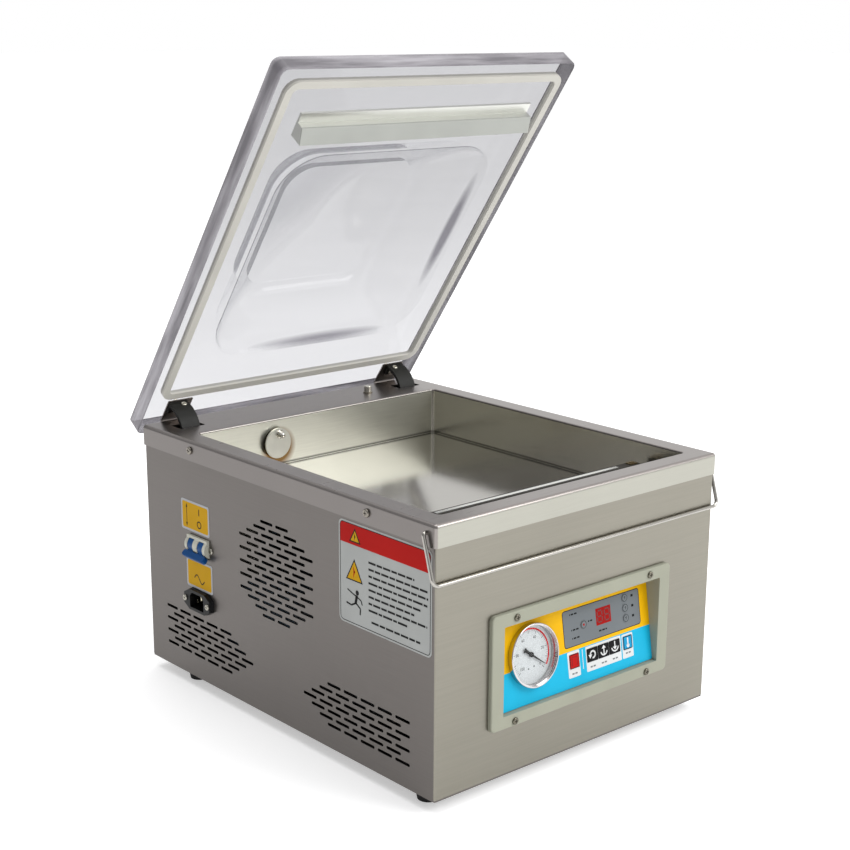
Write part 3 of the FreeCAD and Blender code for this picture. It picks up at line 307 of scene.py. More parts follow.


# ---- finishes -----------------------------------------------------------
# painted light and shade: the cabinet is one stainless steel, given a darker copy of its tone on the side
# and front panels and side flanges and a lighter one on the front flange, for how the lamps fall on each
# face
SIDE_STEEL_SHADED = (0.142, 0.130, 0.122)
FRONT_STEEL_SHADED = (0.258, 0.245, 0.207)
DECK = (0.305, 0.280, 0.266)
FLANGE_FRONT_LIT = (0.385, 0.380, 0.335)
FLANGE_SIDE_SHADED = (0.190, 0.175, 0.167)
FINISH = {
    "base_plate": brushed("steel_base", SIDE_STEEL_SHADED, 0.34),
    "front_panel": brushed("steel_front", FRONT_STEEL_SHADED, 0.34),
    "left_side_panel": brushed("steel_left", SIDE_STEEL_SHADED, 0.33, (1, 0.02, 1)),
    "right_side_panel": brushed("steel_right", SIDE_STEEL_SHADED, 0.33, (1, 0.02, 1)),
    "back_panel": brushed("steel_back", SIDE_STEEL_SHADED, 0.33),
    # painted light and shade on the deck cover: its front flange lighter and its side flanges darker than
    # its top
    "deck_cover": brushed("steel_deck", DECK, 0.28, (0.03, 1, 1), 0.02, 0.06, 0.0,
                          ((1, -1, FLANGE_FRONT_LIT, 0.3), (0, -1, FLANGE_SIDE_SHADED, 0.3), (0, 1, FLANGE_SIDE_SHADED, 0.3))),
    "port_baffle": metal("steel_baffle", (0.66, 0.655, 0.60), 0.34, 60),
    "baffle_screw": metal("screw_bright", (0.62, 0.60, 0.55), 0.10),
    "cover_screws": metal("screw_cover", (0.24, 0.22, 0.19), 0.22),
    "socket_screws": metal("screw_socket", (0.36, 0.345, 0.30), 0.2),
    "bezel_screws": metal("screw_bezel", (0.15, 0.14, 0.11), 0.24),
    "hinge_bolts": metal("bolt_bright", (0.75, 0.72, 0.62), 0.22),
    "bail_wire": metal("wire_bright", (0.40, 0.385, 0.355), 0.12, 300, (0.1, 1, 1)),
    "rubber_feet": moulded("rubber_black", (0.014, 0.014, 0.014), 0.7, 500, 0.3),
    "suction_elbow": metal("elbow_dark", (0.10, 0.08, 0.06), 0.4),
    "suction_hose": moulded("hose_black", (0.03, 0.03, 0.032), 0.6, 300, 0.3),
    "vacuum_pump": painted("cast_blue_grey", (0.10, 0.15, 0.20)),
    "pump_motor": painted("cast_grey", (0.22, 0.24, 0.26)),
    "exhaust_filter": painted("filter_black", (0.05, 0.05, 0.055)),
    "solenoid_valve": metal("brass_valve", (0.66, 0.5, 0.24), 0.3),
    "transformer_core": painted("core_dark", (0.10, 0.10, 0.10), 0.5, 600),
    "transformer_coil": painted("coil_varnish", (0.42, 0.17, 0.04), 0.3, 400),
    "lift_cylinders": metal("alu_turned", (0.6, 0.6, 0.6), 0.3),
    "hinge_shaft": metal("shaft_ground", (0.5, 0.5, 0.5), 0.2),
    "shaft_brackets": metal("bracket_steel", (0.5, 0.49, 0.47), 0.3),
    "lid_springs": metal("spring_steel", (0.25, 0.25, 0.26), 0.3),
    "lid_switch": metal("switch_tube", (0.34, 0.31, 0.25), 0.3),
    "lid_switch_pin": metal("plunger_steel", (0.62, 0.60, 0.53), 0.2),
    "control_bezel": moulded("bezel_grey_green", (0.30, 0.305, 0.243), 0.5, 1100, 0.06),
    # painted light: the display window glows faintly though it is no lamp
    "display_window": moulded("window_red", (0.30, 0.006, 0.005), 0.3, 900, 0.02, 0.05),
    "control_board": painted("laminate_green", (0.01, 0.14, 0.05), 0.4, 700),
    "gauge_case": metal("case_bright", (0.58, 0.56, 0.56), 0.2, 80),
    "gauge_ring": metal("ring_chrome", (0.56, 0.54, 0.54), 0.14, 60),
    "gauge_dial": painted("dial_white", (0.60, 0.62, 0.63), 0.45, 900, 0.02),
    "gauge_pointer": painted("pointer_black", (0.008, 0.008, 0.008), 0.35, 600, 0.05),
    "gauge_glass": clear("gauge_clear", (0.985, 0.99, 0.99), (0.9, 0.9, 0.9), 0.5),
    "breaker_body": moulded("breaker_white", (0.50, 0.50, 0.43), 0.42, 900, 0.08),
    "breaker_lever": moulded("lever_blue", (0.004, 0.058, 0.20), 0.4, 900, 0.1),
    "power_inlet": moulded("inlet_black", (0.005, 0.005, 0.0055), 0.3, 800, 0.1),
    "inlet_pins": metal("pin_plated", (0.6, 0.55, 0.40), 0.2),
    # painted light: the stop and seal keys glow faintly though they hold no lamp
    "stop_key": moulded("key_red", (0.40, 0.006, 0.005), 0.3, 900, 0.05, 0.06),
    "seal_key": moulded("key_blue", (0.012, 0.27, 0.50), 0.3, 900, 0.05, 0.06),
    # painted light: the gasket glows, standing in for light that the silicone scatters
    "lid_gasket": moulded("silicone_cream", (0.42, 0.41, 0.375), 0.42, 700, 0.1, painted_glow=0.24),
    "lid_pressure_bar": metal("bar_satin", (0.60, 0.605, 0.57), 0.3, 700, (0.02, 1, 1), 0.03),
    "pressure_strip": moulded("strip_grey", (0.36, 0.37, 0.345), 0.5, 800, 0.08),
    "hinge_plates": brushed("plate_steel", (0.26, 0.235, 0.215), 0.3),
    "left_hinge_arm": painted("arm_black_left", (0.012, 0.012, 0.010), 0.5),
    "right_hinge_arm": painted("arm_black_right", (0.012, 0.012, 0.010), 0.5),
    "seal_bar": moulded("cloth_brown", (0.020, 0.017, 0.013), 0.5, 1500, 0.3),
    "heating_strip": metal("strip_bright", (0.70, 0.71, 0.68), 0.2, 300, (0.05, 1, 1)),
    "bar_terminals": metal("terminal_brass", (0.24, 0.18, 0.09), 0.35),
}
# painted light: the mode keys glow faintly though they hold no lamp
for key in ("mode_key_a", "mode_key_b", "mode_key_c"):
    FINISH[key] = moulded("black_" + key, (0.007, 0.007, 0.008), 0.3, 900, 0.05, 0.06)


# ---- places taken from the frame ----------------------------------------
def mm_box(node):
    """A node's lowest and highest corner in mm."""
    lo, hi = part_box(node)
    return Vector(lo) / MM, Vector(hi) / MM


TRAY_SHEET = 0.002          # tray sheet thickness
CHAMBER_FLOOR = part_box("vacuum_chamber")[0].z + TRAY_SHEET
TINT_AND_SHADE_SHIFT = Vector((0.004, 0.005, -0.006))     # centre of the brown heat tint and painted shade round the baffle, from the baffle's centre
TINT_AND_SHADE_TONE = (0.34, 0.20, 0.09)
TINT_AND_SHADE_BAND = (0.0165, 0.0225)                    # radii between which the heat tint and painted shade fade out
CORNER_SHADE_BAND = (0.0003, 0.0030)                  # start and end above the floor of the painted shade where the walls meet it
CORNER_SHADE_STOPS = ((0.0, 1.0), (0.02, 0.25), (0.40, 0.30), (1.0, 1.0))


def chamber_steel():
    """Satin tray with painted light and shade: rear wall lighter and floor darker, brown heat tint with
    painted shade round the suction port, and painted shade in a dark line where the walls meet the floor.
    """
    # painted light and shade: the rear wall gets a lighter copy of the tray's tone and the floor a darker
    # one
    mat = brushed("steel_chamber", (0.62, 0.60, 0.53), 0.22, (0.05, 0.05, 1), 0.03, 0.10, 0.0,
                  ((2, 1, (0.47, 0.455, 0.42), 0.12), (1, -1, (0.86, 0.86, 0.77), 0.34)))
    g = Graph(mat.name, mat)
    lo, hi = mm_box("port_baffle")
    spot = (lo + hi) / 2 * MM
    # brown heat tint with painted shade: the wall darkens in a ring just past the baffle's rim, where the
    # gap behind the baffle lies in shade
    far = g.add("ShaderNodeVectorMath", operation="DISTANCE")
    far.inputs[1].default_value = spot + TINT_AND_SHADE_SHIFT
    g.join(g.place(), far.inputs[0])
    ring = g.ramp(far.outputs["Value"], TINT_AND_SHADE_TONE, (1, 1, 1), *TINT_AND_SHADE_BAND)
    mix = g.add("ShaderNodeMix", data_type="RGBA", blend_type="MULTIPLY")
    mix.inputs["Factor"].default_value = 1.0
    g.join(g.bsdf.inputs["Base Color"].links[0].from_socket, mix.inputs["A"])
    g.join(ring, mix.inputs["B"])
    # painted shade: a dark line low on the walls, where they meet the floor
    foot = g.add("ShaderNodeSeparateXYZ")
    g.join(g.place(), foot.inputs["Vector"])
    corner_shade = g.add("ShaderNodeValToRGB")
    above = g.add("ShaderNodeMapRange")
    above.inputs["From Min"].default_value = CHAMBER_FLOOR + CORNER_SHADE_BAND[0]
    above.inputs["From Max"].default_value = CHAMBER_FLOOR + CORNER_SHADE_BAND[1]
    g.join(foot.outputs["Z"], above.inputs["Value"])
    g.join(above.outputs["Result"], corner_shade.inputs["Fac"])
    for k, (stop, tone) in enumerate(CORNER_SHADE_STOPS):
        if k > 1:
            corner_shade.color_ramp.elements.new(stop)
        corner_shade.color_ramp.elements[k].position = stop
        corner_shade.color_ramp.elements[k].color = (tone, tone, tone, 1)
    corner_shade_mix = g.add("ShaderNodeMix", data_type="RGBA", blend_type="MULTIPLY")
    corner_shade_mix.inputs["Factor"].default_value = 1.0
    g.join(mix.outputs["Result"], corner_shade_mix.inputs["A"])
    g.join(corner_shade.outputs["Color"], corner_shade_mix.inputs["B"])
    g.join(corner_shade_mix.outputs["Result"], g.bsdf.inputs["Base Color"])
    return mat


FINISH["vacuum_chamber"] = chamber_steel()
PANEL_OUT = -Vector(JOINTS["stop_key_press"]["axis"])
PANEL_RIGHT = Vector((1, 0, 0))
PANEL_UP = PANEL_OUT.cross(PANEL_RIGHT)
GAUGE_AT = Vector(JOINTS["needle_turn"]["pos_m"])
GAUGE_U = -57.0             # gauge centre across and up the key panel, in mm
GAUGE_W = 45.2
SPLIT_W = 35.8              # where the panel's two colours meet
split_at = GAUGE_AT + PANEL_UP * (SPLIT_W - GAUGE_W) * MM
YELLOW = (0.74, 0.41, 0.003)
SKY = (0.010, 0.385, 0.60)
FINISH["membrane_panel"] = two_tone("film_two_tone", YELLOW, SKY, split_at.z)


def on_panel(u, w, out):
    """A point across, up and out from the key panel, in mm."""
    return (GAUGE_AT + PANEL_RIGHT * (u - GAUGE_U) * MM + PANEL_UP * (w - GAUGE_W) * MM
            + PANEL_OUT * out * MM)


LEFT_X = mm_box("left_side_panel")[0].x


def on_left(y, z, out):
    """A point on the left side, out from its sheet, in mm."""
    return Vector((LEFT_X - out, y, z)) * MM


# ---- flat printed pieces ------------------------------------------------
def rounded(u0, u1, w0, w1, r, steps=5):
    """Outline of a rectangle with rounded corners."""
    pts = []
    corners = ((u1 - r, w1 - r, 0), (u0 + r, w1 - r, 90), (u0 + r, w0 + r, 180), (u1 - r, w0 + r, 270))
    for cx, cy, a0 in corners:
        for k in range(steps + 1):
            a = math.radians(a0 + 90 * k / steps)
            pts.append((cx + r * math.cos(a), cy + r * math.sin(a)))
    return pts


def disc(u, w, r, steps=24):
    """Outline of a full circle."""
    return [(u + r * math.cos(2 * math.pi * k / steps), w + r * math.sin(2 * math.pi * k / steps))
            for k in range(steps)]


def stroke(points, width):
    """An open line drawn with a width, as a list of quads."""
    quads = []
    for (x0, y0), (x1, y1) in zip(points, points[1:]):
        d = Vector((x1 - x0, y1 - y0)).normalized() * width / 2
        quads.append([(x0 - d.y, y0 + d.x), (x0 + d.y, y0 - d.x),
                      (x1 + d.y, y1 - d.x), (x1 - d.y, y1 + d.x)])
    return quads


def arc(u, w, r, a0, a1, steps=24):
    """Points along an arc from one angle to another, in degrees."""
    return [(u + r * math.cos(math.radians(a0 + (a1 - a0) * k / steps)),
             w + r * math.sin(math.radians(a0 + (a1 - a0) * k / steps))) for k in range(steps + 1)]


def printed(name, shapes, where, out, mat, body="cabinet", thick=0.04):
    """Thin raised print: each outline in face coordinates becomes a shallow prism."""
    bm = bmesh.new()
    for outline in shapes:
        top = [bm.verts.new(where(a, b, out + thick)) for a, b in outline]
        low = [bm.verts.new(where(a, b, out)) for a, b in outline]
        bm.faces.new(top)
        bm.faces.new(low[::-1])
        n = len(outline)
        for k in range(n):
            bm.faces.new((top[k], low[k], low[(k + 1) % n], top[(k + 1) % n]))
    bmesh.ops.recalc_face_normals(bm, faces=bm.faces)
    mesh = bpy.data.meshes.new(name)
    bm.to_mesh(mesh)
    bm.free()
    obj = bpy.data.objects.new(name, mesh)
    scene.collection.objects.link(obj)
    mesh.materials.append(mat)
    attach(obj, body)


def ink(name, colour, grain=1200, shine=0.05):
    """Matt printing ink."""
    return moulded(name, colour, 0.4, grain, 0.03, shine)


WHITE = ink("print_white", (0.62, 0.63, 0.63))
GREY = ink("print_grey", (0.155, 0.17, 0.18))
BLACK = ink("print_black", (0.012, 0.012, 0.012))
ARC_RED = ink("arc_red", (0.66, 0.012, 0.018))
RED = ink("print_red", (0.36, 0.005, 0.004))
DIGIT = glow("digit_red", (0.09, 0.002, 0.002), 0.15)

# heights of the prints above the key panel's plate, in mm; its film is 1 mm thick
FILM_OUT = 1.0
LABEL_OUT = 1.02
FIELD_OUT = 1.04
NOTE_OUT = 1.06
LEGEND_OUT = 1.08
DIGIT_OUT = 1.2
KEY_RING_OUT = 1.65
LAMP_OUT = 1.66
RIM_OUT = 1.69
MARK_OUT = 1.7

# key panel: grey display field, white key labels, legends as plain dashes
FIELD = (-13.8, 90.4, 39.8, 74.2)    # left, right, bottom and top edge
FIELD_RIM = 0.7
printed("display_edge", [rounded(FIELD[0] - FIELD_RIM, FIELD[1] + FIELD_RIM, FIELD[2] - FIELD_RIM,
                                 FIELD[3] + FIELD_RIM, 3.0)], on_panel, FILM_OUT, BLACK)
printed("display_field", [rounded(*FIELD, 2.4)], on_panel, FIELD_OUT, GREY)
for name, extent, corner in (("stop_label", (-12.0, 4.0, 10.3, 35.2), 1.2),
                             ("mode_label", (12.4, 60.8, 10.6, 34.8), 1.2),
                             ("seal_label", (62.4, 77.7, 10.6, 34.2), 1.2),
                             ("mode_rule", (7.6, 8.4, 15.0, 34.0), 0.3)):
    printed(name, [rounded(*extent, corner)], on_panel, LABEL_OUT, WHITE)

DASH_GAP = 1.0


def dashes(u, w, lengths, height=1.5):
    """A row of dashes of the given lengths, which stands for a word or two."""
    shapes = []
    for length in lengths:
        shapes.append(rounded(u, u + length, w, w + height, 0.3, 2))
        u += length + DASH_GAP
    return shapes


legends = []
for u, w in ((-5.0, 69.0), (-4.0, 54.0), (-3.6, 46.0)):
    legends += dashes(u, w, (1.0, 3.4, 3.4))
legends += dashes(19.0, 57.6, (1.8, 3.0)) + dashes(32.5, 45.0, (3.6, 3.6, 2.0))
for w in (69.2, 59.4, 49.5):
    legends += dashes(79.5, w - 1.0, (3.0,), height=2.4)
printed("display_legends", legends, on_panel, LEGEND_OUT, BLACK)
foot_notes = []
for u, w in ((-7.4, 13.0), (17.4, 13.6), (32.8, 13.6), (48.2, 13.6), (66.6, 14.6)):
    foot_notes += dashes(u, w, (3.0, 3.0))
printed("key_notes", foot_notes, on_panel, NOTE_OUT, GREY)

LAMP_KEY = (12.6, 56.8)
ARROW_KEYS = ((70.5, 69.3), (70.5, 59.4), (70.5, 49.4))
KEY_MARK = 0.45             # line width of the arrows on the round keys
KEY_RISE = 0.64             # how far a round key stands above the film
for k, (u, w) in enumerate((*ARROW_KEYS, LAMP_KEY)):
    printed("round_key_face_%d" % k, [disc(u, w, 3.9)], on_panel, FILM_OUT, GREY, thick=KEY_RISE)
    face = stroke(arc(u, w, 3.4, 0, 360, 20), 0.4)
    if k < len(ARROW_KEYS):
        face += stroke([(u, w - 1.3), (u, w + 1.3)], KEY_MARK)
        face += stroke([(u - 0.9, w + 0.5), (u, w + 1.4), (u + 0.9, w + 0.5)], KEY_MARK)
    printed("round_key_ring_%d" % k, face, on_panel, KEY_RING_OUT, BLACK)
printed("set_lamp", [disc(*LAMP_KEY, 1.1)], on_panel, LAMP_OUT, RED)

DIGIT_WIDE = 6.4
DIGIT_TALL = 11.0
DIGIT_LINE = 1.25
DIGIT_GAP = 0.8             # clear space between a segment's end and the figure's corner


def seven(u, w):
    """The seven segments of one figure."""
    half = DIGIT_TALL / 2
    top_left, top_right = (0, DIGIT_TALL), (DIGIT_WIDE, DIGIT_TALL)
    mid_left, mid_right = (0, half), (DIGIT_WIDE, half)
    low_left, low_right = (0, 0), (DIGIT_WIDE, 0)
    shapes = []
    for (x0, y0), (x1, y1) in ((top_left, top_right), (top_right, mid_right), (mid_right, low_right),
                               (low_left, low_right), (mid_left, low_left), (top_left, mid_left),
                               (mid_left, mid_right)):
        d = Vector((x1 - x0, y1 - y0)).normalized() * DIGIT_GAP
        shapes += stroke([(u + x0 + d.x, w + y0 + d.y), (u + x1 - d.x, w + y1 - d.y)], DIGIT_LINE)
    return shapes


printed("display_digits", seven(31.9, 54.0) + seven(41.9, 54.0), on_panel, DIGIT_OUT, DIGIT)

# key faces: plain symbols
MARK_RED = moulded("mark_dark_red", (0.16, 0.003, 0.003), 0.35)
turned = stroke(arc(21.0, 26.0, 3.3, -100, 170), 1.7) + [[(15.2, 26.6), (20.2, 26.2), (17.4, 22.6)]]
raised = [[(36.4, 31.4), (33.5, 28.2), (39.3, 28.2)],
          [(35.7, 28.4), (35.7, 22.4), (37.1, 22.4), (37.1, 28.4)]]
raised += stroke(arc(36.4, 26.0, 4.2, 190, 350), 1.4)
lowered = [[(51.8, 23.0), (48.9, 26.2), (54.7, 26.2)],
           [(51.1, 26.0), (51.1, 31.4), (52.5, 31.4), (52.5, 26.0)]]
lowered += stroke(arc(51.8, 26.4, 4.6, 190, 350), 1.4)
warm = [disc(70.0, 22.6, 2.0, 16), rounded(69.1, 70.9, 22.8, 30.6, 0.8, 3)]
stop_frame = stroke([(-6.9, 21.4), (-6.9, 29.6), (-0.1, 29.6), (-0.1, 21.4)], 0.7)
stop_rim = stroke([(-9.3, 19.2), (2.3, 19.2), (2.3, 32.0), (-9.3, 32.0), (-9.3, 19.2)], 0.7)
seal_rim = stroke([(64.4, 19.5), (75.7, 19.5), (75.7, 31.7), (64.4, 31.7), (64.4, 19.5)], 0.9)
for name, shapes, out, mat, key in (("stop_mark", stop_frame, MARK_OUT, MARK_RED, "stop_key"),
                                    ("mark_turn", turned, MARK_OUT, WHITE, "mode_key_a"),
                                    ("mark_rise", raised, MARK_OUT, WHITE, "mode_key_b"),
                                    ("mark_fall", lowered, MARK_OUT, WHITE, "mode_key_c"),
                                    ("seal_key_rim", seal_rim, RIM_OUT, BLACK, "seal_key"),
                                    ("stop_key_rim", stop_rim, RIM_OUT, BLACK, "stop_key"),
                                    ("mark_heat", warm, MARK_OUT, WHITE, "seal_key")):
    printed(name, shapes, on_panel, out, mat, key + "_cap")

# ---- gauge face ---------------------------------------------------------
DIAL_OUT = -1.0             # the dial lies behind the key panel's plate
DIAL_START = 225            # degrees from the right, anticlockwise
DIAL_SWEEP = 270
TICKS = 50
TICKS_PER_LONG = 5
TICK_END = 22.6
FIGURES = 6


def on_dial(r, a):
    return GAUGE_U + r * math.cos(a), GAUGE_W + r * math.sin(a)


ticks = []
for k in range(TICKS + 1):
    a = math.radians(DIAL_START - DIAL_SWEEP * k / TICKS)
    start, width = (19.6, 0.45) if k % TICKS_PER_LONG == 0 else (21.0, 0.22)
    ticks += stroke([on_dial(start, a), on_dial(TICK_END, a)], width)
printed("dial_ticks", ticks, on_panel, DIAL_OUT, BLACK)
printed("dial_arc", stroke(arc(GAUGE_U, GAUGE_W, 23.7, -36, 112, 48), 1.6), on_panel, DIAL_OUT + 0.02,
        ARC_RED)
printed("dial_dots", [disc(GAUGE_U - 3.6, GAUGE_W - 13.0, 0.9), disc(GAUGE_U + 3.6, GAUGE_W - 12.0, 0.9)],
        on_panel, DIAL_OUT, GREY)
NEEDLE_BODY = JOINTS["needle_turn"]["child"]
printed("needle_cap", [disc(GAUGE_U, GAUGE_W, 1.5)], on_panel, 0.92, FINISH["baffle_screw"], NEEDLE_BODY,
        thick=0.5)


def numeral(name, text, u, w):
    """A plain number lying on the gauge's dial."""
    curve = bpy.data.curves.new(name, "FONT")
    curve.body = text
    curve.size = 4.0 * MM
    curve.align_x = "CENTER"
    curve.align_y = "CENTER"
    curve.materials.append(BLACK)
    obj = bpy.data.objects.new(name, curve)
    scene.collection.objects.link(obj)
    basis = Matrix((PANEL_RIGHT, PANEL_UP, PANEL_OUT)).transposed().to_4x4()
    obj.matrix_world = Matrix.Translation(on_panel(u, w, DIAL_OUT + 0.05)) @ basis
    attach(obj, "cabinet")


for k in range(FIGURES):
    a = math.radians(DIAL_START - DIAL_SWEEP * k / (FIGURES - 1))
    numeral("dial_figure_%d" % k, str(100 - 20 * k), *on_dial(16.2, a))

# ---- labels on the left side --------------------------------------------
# painted shade: the side labels' white, yellow and red are set darker than the prints are, for the shade on
# the left side
FINISH["switch_label"] = ink("label_rim_switch", (0.40, 0.41, 0.43), 1000)
FINISH["supply_label"] = ink("label_rim_supply", (0.40, 0.41, 0.43), 1000)
FINISH["warning_label"] = ink("label_white", (0.38, 0.39, 0.38), 1000)
LABEL_RED_SHADED = ink("label_red", (0.40, 0.008, 0.006), 1000, 0.04)
LABEL_YELLOW_SHADED = ink("label_yellow", (0.52, 0.29, 0.006), 1000, 0.04)

# heights of the prints above the side sheet, in mm; the labels are 0.25 mm thick
GROUND_OUT = 0.26
RULE_OUT = 0.28
SIGN_OUT = 0.30
INNER_OUT = 0.34
FLASH_OUT = 0.38


def label_box(node):
    """A side label's edges along the cabinet and upwards, in mm."""
    lo, hi = mm_box(node)
    return lo.y, hi.y, lo.z, hi.z


LABEL_RIM = 2.2


def yellow_field(name, node):
    """The yellow field inside a label's rim; gives back the label's edges."""
    y0, y1, z0, z1 = label_box(node)
    ground = rounded(y0 + LABEL_RIM, y1 - LABEL_RIM, z0 + LABEL_RIM, z1 - LABEL_RIM, 2.0)
    printed(name, [ground], on_left, GROUND_OUT, LABEL_YELLOW_SHADED)
    return y0, y1, z0, z1


# switch label: a double arrow, a bar for on and a ring for off
y0, y1, z0, z1 = yellow_field("switch_field", "switch_label")
ARROW_Y = y1 - 10.0
MARKS_Y = y0 + 18
arrows = stroke([(ARROW_Y, z0 + 7), (ARROW_Y, z1 - 7)], 0.9)
arrows += [[(ARROW_Y - 1.6, z1 - 8), (ARROW_Y + 1.6, z1 - 8), (ARROW_Y, z1 - 4)],
           [(ARROW_Y + 1.6, z0 + 8), (ARROW_Y - 1.6, z0 + 8), (ARROW_Y, z0 + 4)]]
arrows += stroke([(MARKS_Y, z1 - 6), (MARKS_Y, z1 - 13)], 1.4)
arrows += stroke(arc(MARKS_Y, z0 + 9.5, 3.4, 0, 360, 24), 1.3)
printed("switch_marks", arrows, on_left, SIGN_OUT, BLACK)

# supply label: one wave for alternating current
y0, y1, z0, z1 = yellow_field("supply_field", "supply_label")
WAVE_LONG = 18
WAVE_HIGH = 4
WAVE_STEPS = 24
wave = [(y1 - 14 - WAVE_LONG * k / WAVE_STEPS, z0 + 11 + WAVE_HIGH * math.sin(2 * math.pi * k / WAVE_STEPS))
        for k in range(WAVE_STEPS + 1)]
printed("supply_marks", stroke(wave, 1.3), on_left, SIGN_OUT, BLACK)

# warning label: red head band, thin border, hazard triangles, a falling figure and rows of plain bars
y0, y1, z0, z1 = label_box("warning_label")
INSET = 2.0
BAND = 21.0
head = rounded(y0 + INSET, y1 - INSET, z1 - BAND, z1 - INSET, 4.0)[:12]
head += [(y0 + INSET, z1 - BAND), (y1 - INSET, z1 - BAND)]
printed("warning_band", [head], on_left, GROUND_OUT, LABEL_RED_SHADED)
border = rounded(y0 + INSET, y1 - INSET, z0 + INSET, z1 - INSET, 4.0)
rules = stroke(border + border[:1], 0.7)
COLUMN = y1 - 22.0


def triangle(at_y, top, half, tall):
    """A triangle standing on its base, given by its tip."""
    return [(at_y - half, top - tall), (at_y + half, top - tall), (at_y, top)]


for name, at_y, top, half, tall, colour in (("head", y1 - 23.0, z1 - 5.0, 8.0, 13.5, BLACK),
                                            ("column", COLUMN, z1 - 34.0, 12.0, 21.0, LABEL_RED_SHADED)):
    printed("warning_edge_" + name, [triangle(at_y, top, half, tall)], on_left, SIGN_OUT, BLACK)
    printed("warning_sign_" + name, [triangle(at_y, top - 2.4, half - 2.2, tall - 3.6)], on_left, INNER_OUT,
            LABEL_YELLOW_SHADED)
    flash = [[(at_y + 0.14 * half, top - 0.32 * tall), (at_y - 0.14 * half, top - 0.62 * tall),
              (at_y + 0.08 * half, top - 0.60 * tall)],
             [(at_y - 0.10 * half, top - 0.54 * tall), (at_y + 0.12 * half, top - 0.88 * tall),
              (at_y + 0.08 * half, top - 0.56 * tall)]]
    printed("warning_flash_" + name, flash, on_left, FLASH_OUT, colour)

ROW_TOP = z1 - 32.0
ROW_PITCH = 6.4
ROW_START = 42.0            # rows start and end at these distances from the label's rear edge
ROW_ENDS = (104, 121, 122, 121, 112, 104, 121, 96)
LAST_ROW = (z0 + 10.0, 46.0, 112)
BAR_HIGH = 2.0
BAR_GAP = 1.3
rows = [(ROW_TOP - ROW_PITCH * k, ROW_START, end) for k, end in enumerate(ROW_ENDS)]
for k, (z, cursor, end) in enumerate(rows + [LAST_ROW]):
    while cursor < end:
        length = 5.0 + 2.5 * ((3 * k + int(cursor)) % 4)
        rules += stroke([(y1 - cursor, z), (y1 - min(cursor + length, end), z)], BAR_HIGH)
        cursor += length + BAR_GAP
printed("warning_rules", rules, on_left, RULE_OUT, BLACK)

# falling figure: head, body, two legs and two arms
FIGURE_Z = z1 - 63.0
figure = [disc(COLUMN - 4.0, FIGURE_Z - 2.0, 2.4)]
for path, width in (([(-3.5, -4.5), (-1.5, -13.0)], 3.4),
                    ([(-2.0, -12.0), (-8.5, -16.0), (-8.0, -22.0)], 1.7),
                    ([(-1.5, -12.5), (4.5, -15.5), (11.5, -14.5)], 1.7),
                    ([(-4.0, -6.0), (3.0, -4.0), (10.0, -1.5)], 1.4),
                    ([(-4.0, -6.0), (-9.5, -8.0), (-11.0, -12.0)], 1.4)):
    figure += stroke([(COLUMN + a, FIGURE_Z + b) for a, b in path], width)
printed("warning_figure", figure, on_left, RULE_OUT, BLACK)

# ---- clear lid ----------------------------------------------------------
# All lengths in mm from the hinge axis, with the lid shut; lid_point turns them to the open lid.
LID_OPEN = math.radians(54.66)
LID_HALF = 184.25
LID_NEAR = -453.0
LID_FAR = 12.5
LID_UNDER = 14.2
LID_T = 18.5
LID_CORNER = 8.0
DOME_HALF_X = 134.0
DOME_HALF_Y = 130.0
DOME_MID = -220.5
DOME_DEEP = 50.0
DOME_WALL = 10.0
DOME_CORNER = 46.0
DOME_LIP = 2.5              # soft lip where the dome leaves the slab
DOME_TAPER = 0.39           # share of its plan size that the dome loses from foot to top
DOME_ROUND = 1.6            # how late the taper sets in
DOME_STEPS = 20
LIP_STEPS = 5
EDGE_CHAMFER = 1.0
lid_lo, lid_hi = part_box("acrylic_lid")
lid_pivot = Vector(JOINTS["lid_hinge"]["pos_m"])
lid_pivot.x = (lid_lo.x + lid_hi.x) / 2
lid_turn = Matrix.Rotation(-LID_OPEN, 3, "X")


def lid_point(x, y, z):
    """Where a point of the shut lid lies on the open lid, in the row frame."""
    return lid_pivot + lid_turn @ (Vector((x, y, z)) * MM)


def round_loop(hx, hy, cy, r, z, steps=10):
    loop = []
    for sx, sy, a0 in ((1, 1, 0), (-1, 1, 90), (-1, -1, 180), (1, -1, 270)):
        for k in range(steps + 1):
            a = math.radians(a0 + 90 * k / steps)
            loop.append((sx * (hx - r) + r * math.cos(a), cy + sy * (hy - r) + r * math.sin(a), z))
    return loop


def slab_loop(z, inset=0.0):
    return round_loop(LID_HALF - inset, (LID_FAR - LID_NEAR) / 2 - inset, (LID_FAR + LID_NEAR) / 2,
                      LID_CORNER - inset, z)


def dome_loop(level, grow, z):
    """Outline of the dome at a share of its height, grown outwards by a wall."""
    f = 1 - DOME_TAPER * math.sin(level * math.pi / 2) ** DOME_ROUND
    return round_loop(DOME_HALF_X * f + grow, DOME_HALF_Y * f + grow, DOME_MID, DOME_CORNER * f + grow, z)


def skin(name, loops, mat, cap=False, smooth=True):
    """A sheet swept through loops of equal length, with the last loop closed if cap is set."""
    bm = bmesh.new()
    rows = [[bm.verts.new(lid_point(*p)) for p in loop] for loop in loops]
    n = len(rows[0])
    for low, high in zip(rows, rows[1:]):
        for k in range(n):
            bm.faces.new((low[k], low[(k + 1) % n], high[(k + 1) % n], high[k]))
    if cap:
        bm.faces.new(rows[-1])
    bmesh.ops.recalc_face_normals(bm, faces=bm.faces)
    mesh = bpy.data.meshes.new(name)
    bm.to_mesh(mesh)
    bm.free()
    for poly in mesh.polygons:
        poly.use_smooth = smooth
    mesh.materials.append(mat)
    obj = bpy.data.objects.new(name, mesh)
    scene.collection.objects.link(obj)
    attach(obj, "lid")
    return obj


LID_CLEAR = clear("lid_clear", (0.78, 0.78, 0.79), (0.66, 0.66, 0.68))
TILT = (-LID_OPEN, 0, 0)
